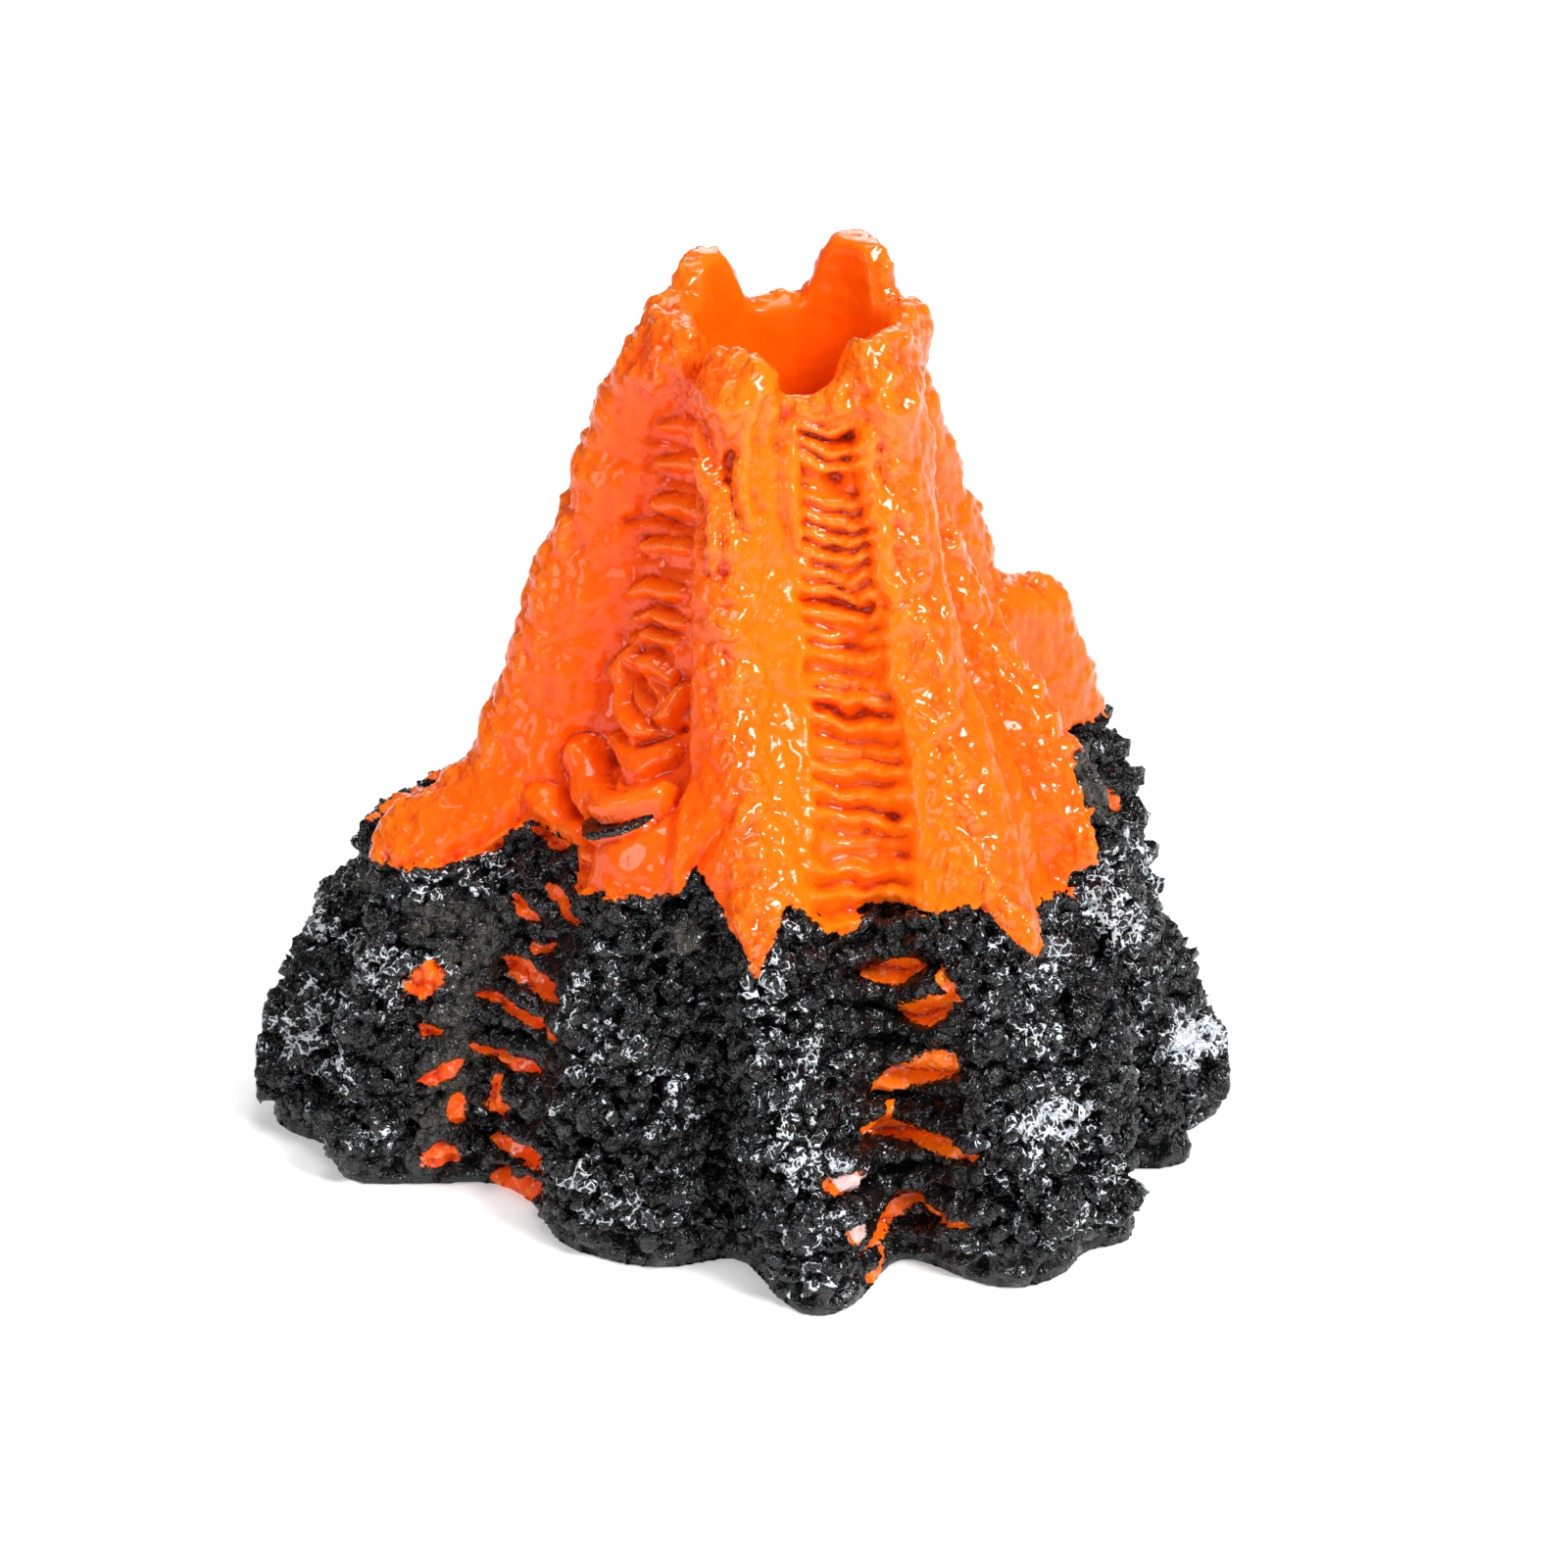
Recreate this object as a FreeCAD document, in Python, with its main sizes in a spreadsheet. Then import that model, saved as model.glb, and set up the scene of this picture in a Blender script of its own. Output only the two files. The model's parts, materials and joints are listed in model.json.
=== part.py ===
import FreeCAD, Part
import math
import os
import Sketcher
from FreeCAD import Placement, Rotation, Vector

# An aquarium bubbling ornament: a hollow cast volcano that stands over a small air diffuser.
# Millimetres, +Z up. The origin lies on the tank floor, on the axis of the volcano's vent.
# The front of the volcano faces -Y. The airline leaves through the arch at the back, along +Y.

doc = FreeCAD.newDocument("bubbling_ornament")

# ---------------------------------------------------------------- driving dimensions

SIZES = {
    # volcano shell
    "crater_lip_height": 109.5,
    "crater_rear_rise": 3.5,
    "loft_top_height": 127.0,
    "skirt_height": 4.0,
    "skirt_step": 0.8,
    "cavity_foot_radius": 46.0,
    "cavity_knee_radius": 41.0,
    "cavity_knee_height": 22.0,
    "cavity_waist_radius": 30.0,
    "cavity_waist_height": 44.0,
    "cavity_neck_radius": 14.0,
    "cavity_neck_height": 70.0,
    "vent_radius": 10.5,
    "vent_foot_height": 80.0,
    "vent_head_height": 88.0,
    "crater_mouth_radius": 14.2,
    "arch_half_width": 12.0,
    "arch_spring_height": 15.0,
    "arch_start": 20.0,
    "arch_reach": 60.0,
    # airline and its barbed spigots
    "line_height": 11.0,
    "tube_bore_radius": 2.0,
    "tube_outer_radius": 3.0,
    "tube_stretch": 0.4,
    "spigot_length": 8.0,
    "spigot_root_radius": 2.0,
    "barb_radius": 2.4,
    "spigot_bore_radius": 1.2,
    "tube_gap": 0.5,
    "tube_ease": 0.4,
    "short_airline_length": 17.0,
    "link_airline_length": 17.5,
    "supply_airline_length": 28.0,
    # air diffuser
    "dish_radius": 23.0,
    "dish_height": 19.5,
    "dish_floor": 2.0,
    "dish_rim": 1.5,
    "dish_chamfer": 1.0,
    "ledge_height": 13.5,
    "plenum_radius": 18.0,
    "sinker_height": 4.0,
    "sinker_clearance": 0.2,
    "stone_radius": 20.0,
    "stone_height": 8.0,
    "stone_round": 1.5,
    "gasket_height": 5.0,
    "gasket_chamfer": 0.6,
    # check valve
    "check_radius": 7.0,
    "check_seam_radius": 7.8,
    "check_seam_half": 1.0,
    "check_outlet_length": 7.0,
    "check_inlet_length": 6.0,
    "check_wall": 2.0,
    "check_chamber_radius": 5.0,
    "check_chamfer": 1.0,
    "disc_radius": 4.2,
    "disc_thickness": 1.0,
    "seat_radius": 3.0,
    "seat_height": 1.0,
    "seat_recess": 1.0,
    "seat_clearance": 0.05,
    # control valve
    "valve_length": 14.0,
    "valve_radius": 6.0,
    "valve_chamfer": 1.5,
    "boss_radius": 5.5,
    "boss_top": 18.5,
    "plug_radius": 3.5,
    "plug_clearance": 0.05,
    "plug_foot": 6.5,
    "plug_foot_clearance": 0.1,
    "ring_height": 15.8,
    "ring_section": 0.6,
    "lever_thickness": 3.0,
    "lever_hub_radius": 5.2,
    "lever_reach": 17.0,
    "lever_tip_radius": 3.2,
    "lever_gap": 0.2,
    "lever_soft_edge": 0.8,
    "drive_square": 3.6,
    # tube clip on its suction cup
    "clip_setback": 10.0,
    "clip_length": 5.0,
    "clip_wall": 1.4,
    "clip_mouth": 4.2,
    "clip_clearance": 0.05,
    "pin_radius": 1.5,
    "pin_length": 2.6,
    "cup_radius": 11.0,
    "cup_lip": 0.8,
    "cup_shoulder_radius": 4.2,
    "cup_shoulder_height": 3.4,
    "cup_height": 6.4,
    # how far a cut runs past the surface it opens
    "overshoot": 1.0,
}

# Ridges of the volcano: (height, bearing in degrees, crest radius) from the crater down to the foot,
# then the half width of the crest on its clockwise and anticlockwise sides, and how square the sides are.
# Bearings turn from +X towards +Y, so the front of the volcano is at 270.
RIDGES = {
    "left_fin": (
        [(116, 182, 19), (104, 184, 26), (73, 187, 37), (62, 188, 41), (52, 190, 46), (46, 193, 51),
         (43, 195, 57), (30, 200, 63), (0, 205, 71)],
        7.0, 8.0, 2.6,
    ),
    "front_left_fin": (
        [(115, 236, 17), (100, 240, 21), (72, 250, 31), (56, 260, 41), (44, 265, 51), (18, 270.5, 62),
         (0, 273.5, 69)],
        6.5, 8.5, 2.4,
    ),
    "front_right_fin": (
        [(115, 322, 17), (88, 313, 26), (72, 309, 34), (55, 305, 46), (42, 302, 56), (28, 300, 63),
         (0, 300, 69)],
        9.5, 9.0, 2.8,
    ),
    "right_rib": (
        [(95, 345, 18), (80, 343, 26), (58, 340, 41), (46, 338, 48), (0, 336, 63)],
        6.0, 6.0, 2.6,
    ),
    "rear_right_fin": (
        [(104, 27, 20), (81, 28, 29), (72, 29, 33), (69.5, 29, 39.5), (66, 29, 43.5), (41, 29, 54),
         (33, 28, 58), (20, 26, 58.5), (0, 20, 60)],
        6.0, 6.0, 2.8,
    ),
    "rear_fin": ([(112, 60, 19), (88, 60, 27), (68, 60, 37), (30, 60, 55), (0, 60, 60)], 8.0, 8.0, 2.6),
    "rear_left_fin": (
        [(112, 140, 19), (88, 136, 28), (68, 130, 38), (30, 128, 55), (0, 128, 60)],
        8.0, 8.0, 2.6,
    ),
    "front_mound": (
        [(100, 218, 19), (72, 220, 27.5), (61, 236, 33), (57, 240, 40), (44, 242, 46), (30, 243, 52),
         (0, 244, 60)],
        11.0, 12.5, 3.4,
    ),
    "left_boulder": (
        [(60, 172, 28), (46, 176, 47), (41.5, 178, 57), (28, 181, 67), (21, 184, 70), (8, 188, 77),
         (0, 191, 74)],
        12.0, 11.0, 2.6,
    ),
    "right_boulder": ([(44, 350, 40), (26, 352, 53), (8, 352, 63), (0, 350, 62)], 9.0, 9.0, 2.6),
    "right_foot": ([(44, 320, 42), (28, 316, 58), (0, 313, 67.5)], 8.0, 8.0, 2.6),
}
# The valleys between the ridges: (height, radius).
VALLEYS = [(127, 14.2), (110, 15.5), (86, 19.5), (70, 25), (44, 40), (30, 47), (0, 53)]
# A ridge that ends below the crater dies away over this height.
RIDGE_FADE = 30.0
# Horns round the crater: (bearing, height of the tip, half width along the rim).
HORNS = [
    (182, 117.0, 8.0), (205, 115.5, 7.0), (234, 115.0, 6.5), (325, 116.5, 8.5),
    (6, 115.5, 9.0), (56, 123.3, 6.5), (141, 121.5, 6.0), (162, 116.5, 6.0),
]
SECTION_HEIGHTS = [4, 8, 14, 21, 28, 35, 41, 44, 48, 53, 58, 62, 66, 69.5, 72, 78, 86, 95, 104, 112, 120, 127]
SECTION_POINTS = 90
HORN_SQUARENESS = 4
RIDGE_BLEND = 3
# The ring that trims the crater's edge: its radii, and its top above the loft's.
CROWN_RADIUS = 45.0
CROWN_INNER_RADIUS = 1.0
CROWN_MARGIN = 10.0
# The share of a ridge's rise that counts when an angle is turned into a distance across the ridge, and
# how wide a crest is, as a multiple of its half width: at the vent's axis, and more for each mm outwards.
RISE_SPREAD = 0.6
CREST_WIDTH_AT_AXIS = 0.7
CREST_WIDTH_GROWTH = 0.0075
# The radius at which a horn's half width is measured, as a multiple of the vent's.
HORN_RADIUS_SHARE = 1.6

sheet = doc.addObject("Spreadsheet::Sheet", "sizes")
for row, (alias, number) in enumerate(SIZES.items(), start=1):
    sheet.set(f"A{row}", alias)
    sheet.set(f"B{row}", str(number))
    sheet.setAlias(f"B{row}", alias)
doc.recompute()


class Size:
    """A length made from the sheet: its number now, and the expression that keeps it up to date."""

    def __init__(self, number, text):
        self.number, self.text = number, text

    def __add__(self, other):
        other = as_size(other)
        return Size(self.number + other.number, f"({self.text} + {other.text})")

    def __sub__(self, other):
        other = as_size(other)
        return Size(self.number - other.number, f"({self.text} - {other.text})")

    def __mul__(self, factor):
        return Size(self.number * factor, f"({self.text} * {factor})")

    def __neg__(self):
        return self * -1


def as_size(value):
    return value if isinstance(value, Size) else Size(float(value), str(value))


def size(alias):
    return Size(float(sheet.get(alias)), f"sizes.{alias}")


def bind(feature, **lengths):
    """Ties the properties of a feature to the sheet."""
    for name, length in lengths.items():
        length = as_size(length)
        feature.setExpression(name, length.text)


def place(feature, label, base=(0, 0, 0), rotation=Rotation()):
    """Names a sub-part and puts it where it belongs, with its position tied to the sheet."""
    feature.Label = label
    at = [as_size(value) for value in base]
    feature.Placement = Placement(Vector(*[value.number for value in at]), rotation)
    for axis, value in zip("xyz", at):
        feature.setExpression(f"Placement.Base.{axis}", value.text)


# Turns a body's own Z axis onto the airline's direction, +Y.
ALONG_LINE = Rotation(Vector(1, 0, 0), -90)

# ---------------------------------------------------------------- PartDesign helpers


def new_body(name):
    return doc.addObject("PartDesign::Body", name)


def plane(body, role):
    return next(f for f in body.Origin.OriginFeatures if f.Role == role)


def sketch_on(body, name, role="XZ_Plane", lift=None):
    sketch = body.newObject("Sketcher::SketchObject", name)
    sketch.AttachmentSupport = (plane(body, role), [""])
    sketch.MapMode = "FlatFace"
    if lift is not None:
        sketch.AttachmentOffset = Placement(Vector(0, 0, lift.number), Rotation())
        sketch.setExpression("AttachmentOffset.Base.z", lift.text)
    return sketch


def hold(sketch, kind, geometry, point, length):
    """Fixes one coordinate of a sketch point, measured from the origin."""
    length = as_size(length)
    if abs(length.number) < 1e-9:
        axis = -2 if kind == "DistanceX" else -1
        sketch.addConstraint(Sketcher.Constraint("PointOnObject", geometry, point, axis))
        return
    index = sketch.addConstraint(Sketcher.Constraint(kind, -1, 1, geometry, point, length.number))
    sketch.setExpression(f"Constraints[{index}]", length.text)


def polygon(sketch, points):
    """A closed outline whose corners are all tied to the sheet."""
    corners = [(as_size(x), as_size(y)) for x, y in points]
    spots = [Vector(x.number, y.number, 0) for x, y in corners]
    count = len(spots)
    lines = [Part.LineSegment(spots[i], spots[(i + 1) % count]) for i in range(count)]
    sketch.addGeometry(lines, False)
    for i in range(count):
        sketch.addConstraint(Sketcher.Constraint("Coincident", i, 2, (i + 1) % count, 1))
    for i, (x, y) in enumerate(corners):
        hold(sketch, "DistanceX", i, 1, x)
        hold(sketch, "DistanceY", i, 1, y)


def circle(sketch, radius, x=0, y=0):
    radius, x, y = as_size(radius), as_size(x), as_size(y)
    centre = Vector(x.number, y.number, 0)
    index = sketch.addGeometry(Part.Circle(centre, Vector(0, 0, 1), radius.number), False)
    where = sketch.addConstraint(Sketcher.Constraint("Radius", index, radius.number))
    sketch.setExpression(f"Constraints[{where}]", radius.text)
    hold(sketch, "DistanceX", index, 3, x)
    hold(sketch, "DistanceY", index, 3, y)


def turned(body, name, points, cut=False, role="XZ_Plane", lift=None):
    """A Revolution, or a Groove, of an outline given as (radius, distance along the axis)."""
    sketch = sketch_on(body, name + "_outline", role, lift)
    polygon(sketch, points)
    feature = body.newObject("PartDesign::Groove" if cut else "PartDesign::Revolution", name)
    feature.Profile = sketch
    feature.ReferenceAxis = (sketch, ["V_Axis"])
    feature.Angle = 360
    doc.recompute()
    return feature


def spigot(start, sign):
    """Outline corners of a barbed spigot, from its root at start, outwards along sign."""
    root, barb, reach = size("spigot_root_radius"), size("barb_radius"), size("spigot_length")
    step = reach * (0.3 * sign)
    tip = reach * sign
    return [
        (root, start),
        (root, start + step),
        (barb, start + step),
        (root, start + step * 2),
        (barb, start + step * 2),
        (root - 0.1, start + tip),
    ]


# ---------------------------------------------------------------- volcano shell


def between(knots, height, column):
    """Reads a value from rows that start with a height, along straight lines between them."""
    rows = sorted(knots)
    if height <= rows[0][0]:
        return rows[0][column]
    for low, high in zip(rows, rows[1:]):
        if height <= high[0]:
            share = (height - low[0]) / (high[0] - low[0])
            return low[column] + share * (high[column] - low[column])
    return rows[-1][column]


def turn_between(bearing, other):
    """The signed angle from one bearing to another, in radians."""
    return math.radians((bearing - other + 180) % 360 - 180)


def form_radius(bearing, height):
    """The outside radius of the volcano at a bearing and a height."""
    valley = between(VALLEYS, height, 1)
    blend = 0.0
    for knots, clockwise_width, anticlockwise_width, squareness in RIDGES.values():
        crest = between(knots, height, 2)
        above = max(height - max(knots)[0], 0.0)
        rise = max(crest - valley, 0.0) * max(1.0 - above / RIDGE_FADE, 0.0)
        aside = turn_between(bearing, between(knots, height, 1)) * (valley + RISE_SPREAD * rise)
        half_width = anticlockwise_width if aside > 0 else clockwise_width
        spread = half_width * (CREST_WIDTH_AT_AXIS + CREST_WIDTH_GROWTH * crest)
        blend += (rise * math.exp(-((abs(aside) / spread) ** squareness))) ** RIDGE_BLEND
    return valley + blend ** (1 / RIDGE_BLEND)


def rim_height(bearing):
    """The height of the crater's edge: the lip, higher at the back, raised by each horn."""
    rear_share = 0.5 + 0.5 * math.sin(math.radians(bearing))
    lip = float(sheet.crater_lip_height) + float(sheet.crater_rear_rise) * rear_share
    height = lip
    for horn, tip, half_width in HORNS:
        aside = turn_between(bearing, horn) * float(sheet.vent_radius) * HORN_RADIUS_SHARE
        height = max(height, lip + (tip - lip) * math.exp(-((abs(aside) / half_width) ** HORN_SQUARENESS)))
    return height


def ring_wire(radius_at, height_at):
    """A closed smooth wire round the vent."""
    points = []
    for i in range(SECTION_POINTS):
        bearing = 360.0 * i / SECTION_POINTS
        reach, turn = radius_at(bearing), math.radians(bearing)
        points.append(Vector(reach * math.cos(turn), reach * math.sin(turn), height_at(bearing)))
    even_steps = [float(i) for i in range(SECTION_POINTS + 1)]
    curve = Part.BSplineCurve()
    curve.interpolate(Points=points, PeriodicFlag=True, Parameters=even_steps)
    return Part.Wire([curve.toShape()])


def feature_of(shape, name):
    feature = doc.addObject("Part::Feature", name)
    feature.Shape = shape
    return feature


def outer_form():
    """The volcano's outside: a loft through level sections, on a plain skirt."""
    sections = []
    for height in SECTION_HEIGHTS:
        wire = ring_wire(lambda bearing: form_radius(bearing, height), lambda bearing: height)
        sections.append(feature_of(wire, f"section_{height}"))
    loft = doc.addObject("Part::Loft", "rock_loft")
    loft.Sections, loft.Solid, loft.Ruled = sections, True, False
    skirt_top = float(sheet.skirt_height)
    step = float(sheet.skirt_step)
    foot = [
        ring_wire(lambda bearing: form_radius(bearing, skirt_top) - step, lambda bearing: height)
        for height in (0.0, skirt_top)
    ]
    skirt = doc.addObject("Part::Loft", "skirt_loft")
    skirt.Sections = [feature_of(wire, f"skirt_{i}") for i, wire in enumerate(foot)]
    skirt.Solid, skirt.Ruled = True, True
    return [loft, skirt]


def crown_cutter():
    """Everything above the crater's edge, as a ring with a wavy underside."""
    top = float(sheet.loft_top_height) + CROWN_MARGIN
    outer_low = ring_wire(lambda bearing: CROWN_RADIUS, rim_height)
    inner_low = ring_wire(lambda bearing: CROWN_INNER_RADIUS, rim_height)
    outer_top = ring_wire(lambda bearing: CROWN_RADIUS, lambda bearing: top)
    inner_top = ring_wire(lambda bearing: CROWN_INNER_RADIUS, lambda bearing: top)
    pairs = [(inner_low, outer_low), (outer_low, outer_top), (outer_top, inner_top), (inner_top, inner_low)]
    faces = [Part.makeRuledSurface(a.Edges[0], b.Edges[0]) for a, b in pairs]
    shell = Part.makeShell(faces)
    shell.sewShape()
    solid = Part.makeSolid(Part.Shell(shell.Faces))
    if solid.Volume < 0:
        solid.reverse()
    return feature_of(solid, "crown_cutter")


def frustum(name, foot_radius, head_radius, foot, head):
    cone = doc.addObject("Part::Cone", name)
    bind(cone, Radius1=foot_radius, Radius2=head_radius, Height=head - foot)
    cone.setExpression("Placement.Base.z", foot.text)
    return cone


def hollow():
    """The cavity over the diffuser, the vent above it and the crater's mouth."""
    below = -size("overshoot")
    knee, waist = size("cavity_knee_height"), size("cavity_waist_height")
    neck, vent, head = size("cavity_neck_height"), size("vent_foot_height"), size("vent_head_height")
    top = size("loft_top_height") + size("overshoot")
    vent_radius = size("vent_radius")
    cones = [
        frustum("cavity_foot", size("cavity_foot_radius"), size("cavity_knee_radius"), below, knee),
        frustum("cavity_waist", size("cavity_knee_radius"), size("cavity_waist_radius"), knee, waist),
        frustum("cavity_neck", size("cavity_waist_radius"), size("cavity_neck_radius"), waist, neck),
        frustum("cavity_throat", size("cavity_neck_radius"), vent_radius, neck, vent),
        frustum("crater_mouth", vent_radius, size("crater_mouth_radius"), head, top),
    ]
    bore = doc.addObject("Part::Cylinder", "vent_bore")
    bind(bore, Radius=vent_radius, Height=head - vent)
    bore.setExpression("Placement.Base.z", vent.text)
    return cones + [bore]


def airline_arch():
    """The opening at the back that lets the airline out and lets the shell lift off over it."""
    half, spring = size("arch_half_width"), size("arch_spring_height")
    start, reach, below = size("arch_start"), size("arch_reach"), size("overshoot")
    doorway = doc.addObject("Part::Box", "arch_doorway")
    bind(doorway, Length=half * 2, Width=reach, Height=spring + below)
    place(doorway, "arch_doorway", (-half, start, -below))
    crown = doc.addObject("Part::Cylinder", "arch_crown")
    bind(crown, Radius=half, Height=reach)
    place(crown, "arch_crown", (0, start, spring), ALONG_LINE)
    return [doorway, crown]


def volcano_shell():
    body = doc.addObject("Part::MultiFuse", "rock")
    body.Shapes = outer_form()
    tools = doc.addObject("Part::MultiFuse", "openings")
    tools.Shapes = hollow() + airline_arch()
    pierced = doc.addObject("Part::Cut", "pierced_rock")
    pierced.Base, pierced.Tool = body, tools
    shell = doc.addObject("Part::Cut", "volcano_shell")
    shell.Base, shell.Tool = pierced, crown_cutter()
    shell.Label = "volcano_shell"
    return shell


# ---------------------------------------------------------------- air diffuser


def diffuser_dish():
    body = new_body("diffuser_dish")
    radius, floor, ledge = size("dish_radius"), size("dish_floor"), size("ledge_height")
    inner, plenum = radius - size("dish_rim"), size("plenum_radius")
    chamfer, overshoot = size("dish_chamfer"), size("overshoot")
    turned(body, "bowl", [
        (0, 0), (radius - chamfer, 0), (radius, chamfer), (radius, size("dish_height")),
        (inner, size("dish_height")), (inner, ledge), (plenum, ledge), (plenum, floor), (0, floor),
    ])
    line = size("line_height")
    root, bore, tip = size("spigot_root_radius"), size("spigot_bore_radius"), radius + size("spigot_length")
    buried = plenum + overshoot
    turned(body, "air_inlet", [(0, buried), (root, buried)] + spigot(radius, 1) + [(0, tip)],
           role="XY_Plane", lift=line)
    solid_volume = body.Shape.Volume
    near, far = plenum - overshoot, tip + overshoot
    turned(body, "air_passage", [(0, near), (bore, near), (bore, far), (0, far)],
           cut=True, role="XY_Plane", lift=line)
    if body.Shape.Volume >= solid_volume:
        raise SystemExit("the air passage did not cut the dish")
    place(body, "diffuser_dish")
    return body


def sinker_weight():
    body = new_body("sinker_weight")
    sketch = sketch_on(body, "disc", "XY_Plane")
    circle(sketch, size("plenum_radius") - size("sinker_clearance"))
    pad = body.newObject("PartDesign::Pad", "plate")
    pad.Profile = sketch
    bind(pad, Length=size("sinker_height"))
    place(body, "sinker_weight", (0, 0, size("dish_floor")))
    return body


def diffuser_stone():
    body = new_body("diffuser_stone")
    sketch = sketch_on(body, "disc", "XY_Plane")
    circle(sketch, size("stone_radius"))
    pad = body.newObject("PartDesign::Pad", "block")
    pad.Profile = sketch
    bind(pad, Length=size("stone_height"))
    doc.recompute()
    top = max(range(len(pad.Shape.Edges)), key=lambda i: pad.Shape.Edges[i].CenterOfMass.z)
    round_off = body.newObject("PartDesign::Fillet", "rounded_edge")
    round_off.Base = (pad, [f"Edge{top + 1}"])
    bind(round_off, Radius=size("stone_round"))
    place(body, "diffuser_stone", (0, 0, size("ledge_height")))
    return body


def stone_gasket():
    body = new_body("stone_gasket")
    inner, outer = size("stone_radius"), size("dish_radius") - size("dish_rim")
    height, chamfer = size("gasket_height"), size("gasket_chamfer")
    turned(body, "ring", [
        (inner, 0), (outer, 0), (outer, height - chamfer), (outer - chamfer, height), (inner, height),
    ])
    place(body, "stone_gasket", (0, 0, size("ledge_height")))
    return body


# ---------------------------------------------------------------- airline

# Where each piece of the line starts, as a distance along +Y from the vent's axis.
short_start = size("dish_radius") + size("tube_gap")
check_start = short_start + size("short_airline_length")
check_end = check_start + size("check_outlet_length") + size("check_inlet_length")
link_start = check_end
valve_start = link_start + size("link_airline_length")
valve_end = valve_start + size("valve_length")
supply_end = valve_end + size("supply_airline_length")


def tube_outline(length, far_end_stretched):
    """Half section of a tube, stretched over a spigot at its near end and, if asked, its far end.

    A tube with two stretched ends is too short to narrow between them: it has only a slight waist."""
    bore, outer, ease = size("tube_bore_radius"), size("tube_outer_radius"), size("tube_ease")
    wide_bore, wide_outer = bore + size("tube_stretch"), outer + size("tube_stretch")
    grip = size("spigot_length")
    if not far_end_stretched:
        return [
            (wide_bore, 0), (wide_bore, grip), (bore, grip + ease), (bore, length), (outer, length),
            (outer, grip + ease * 3), (wide_outer, grip), (wide_outer, 0),
        ]
    middle, half_ease = length * 0.5, ease * 0.5
    return [
        (wide_bore, 0), (wide_bore, grip), (bore, grip + half_ease), (bore, length - grip - half_ease),
        (wide_bore, length - grip), (wide_bore, length), (wide_outer, length),
        (wide_outer, middle + ease * 1.5), (wide_outer - half_ease, middle),
        (wide_outer, middle - ease * 1.5), (wide_outer, 0),
    ]


def airline(label, length, start, far_end_stretched):
    body = new_body(label)
    turned(body, "tube", tube_outline(length, far_end_stretched))
    place(body, label, (0, start, size("line_height")), ALONG_LINE)
    return body


# ---------------------------------------------------------------- check valve


def check_valve_outlet():
    """The half that faces the diffuser: a spigot and the chamber that the disc floats in."""
    body = new_body("check_valve_outlet")
    radius, length, wall = size("check_radius"), size("check_outlet_length"), size("check_wall")
    chamber, bore = size("check_chamber_radius"), size("spigot_bore_radius")
    seam, half, chamfer = size("check_seam_radius"), size("check_seam_half"), size("check_chamfer")
    tail = list(reversed(spigot(as_size(0), -1)))
    turned(body, "half", [(bore, -size("spigot_length"))] + tail + [
        (radius - chamfer, 0), (radius, chamfer), (radius, length - half), (seam, length - half),
        (seam, length), (chamber, length), (chamber, wall), (bore, wall),
    ])
    place(body, "check_valve_outlet", (0, check_start, size("line_height")), ALONG_LINE)
    return body


def check_valve_inlet():
    """The half that faces the pump: its raised seat is what the disc closes."""
    body = new_body("check_valve_inlet")
    radius, length = size("check_radius"), size("check_inlet_length")
    chamber, bore = size("check_chamber_radius"), size("spigot_bore_radius")
    seam, half, chamfer = size("check_seam_radius"), size("check_seam_half"), size("check_chamfer")
    seat, seat_face = size("seat_radius"), size("seat_recess")
    depth = seat_face + size("seat_height")
    turned(body, "half", [
        (bore, seat_face), (seat, seat_face), (seat, depth), (chamber, depth), (chamber, 0), (seam, 0),
        (seam, half), (radius, half), (radius, length - chamfer), (radius - chamfer, length),
    ] + spigot(length, 1) + [(bore, length + size("spigot_length"))])
    place(body, "check_valve_inlet", (0, check_start + size("check_outlet_length"), size("line_height")),
          ALONG_LINE)
    return body


def check_valve_disc():
    """The loose silicone disc: back pressure holds it on the seat, air lifts it off, towards -Y."""
    body = new_body("check_valve_disc")
    sketch = sketch_on(body, "disc", "XY_Plane")
    circle(sketch, size("disc_radius"))
    pad = body.newObject("PartDesign::Pad", "membrane")
    pad.Profile = sketch
    bind(pad, Length=size("disc_thickness"))
    seat_at = check_start + size("check_outlet_length") + size("seat_recess")
    place(body, "check_valve_disc",
          (0, seat_at - size("seat_clearance") - size("disc_thickness"), size("line_height")), ALONG_LINE)
    return body


# ---------------------------------------------------------------- control valve


def cylinder(name, radius, height, base, rotation=Rotation()):
    feature = doc.addObject("Part::Cylinder", name)
    bind(feature, Radius=radius, Height=height)
    place(feature, name, base, rotation)
    return feature


def valve_body():
    """A barrel with a spigot at each end, and a boss on top that holds the turning plug."""
    barrel = new_body("valve_barrel")
    radius, length, bore = size("valve_radius"), size("valve_length"), size("spigot_bore_radius")
    chamfer = size("valve_chamfer")
    outline = [(bore, -size("spigot_length"))] + list(reversed(spigot(as_size(0), -1)))
    outline += [
        (radius - chamfer, 0), (radius, chamfer), (radius, length - chamfer), (radius - chamfer, length),
    ]
    outline += spigot(length, 1) + [(bore, length + size("spigot_length"))]
    turned(barrel, "barrel", outline)
    place(barrel, "valve_barrel", (0, valve_start, size("line_height")), ALONG_LINE)
    centre = valve_start + length * 0.5
    line = size("line_height")
    boss = cylinder("valve_boss", size("boss_radius"), size("boss_top") - line, (0, centre, line))
    solid = doc.addObject("Part::Fuse", "valve_blank")
    solid.Base, solid.Tool = barrel, boss
    well_depth = size("boss_top") - size("plug_foot")
    well = cylinder("plug_well", size("plug_radius"), well_depth + size("overshoot"),
                    (0, centre, size("plug_foot")))
    body = doc.addObject("Part::Cut", "valve_body")
    body.Base, body.Tool = solid, well
    body.Label = "valve_body"
    return body


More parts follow.
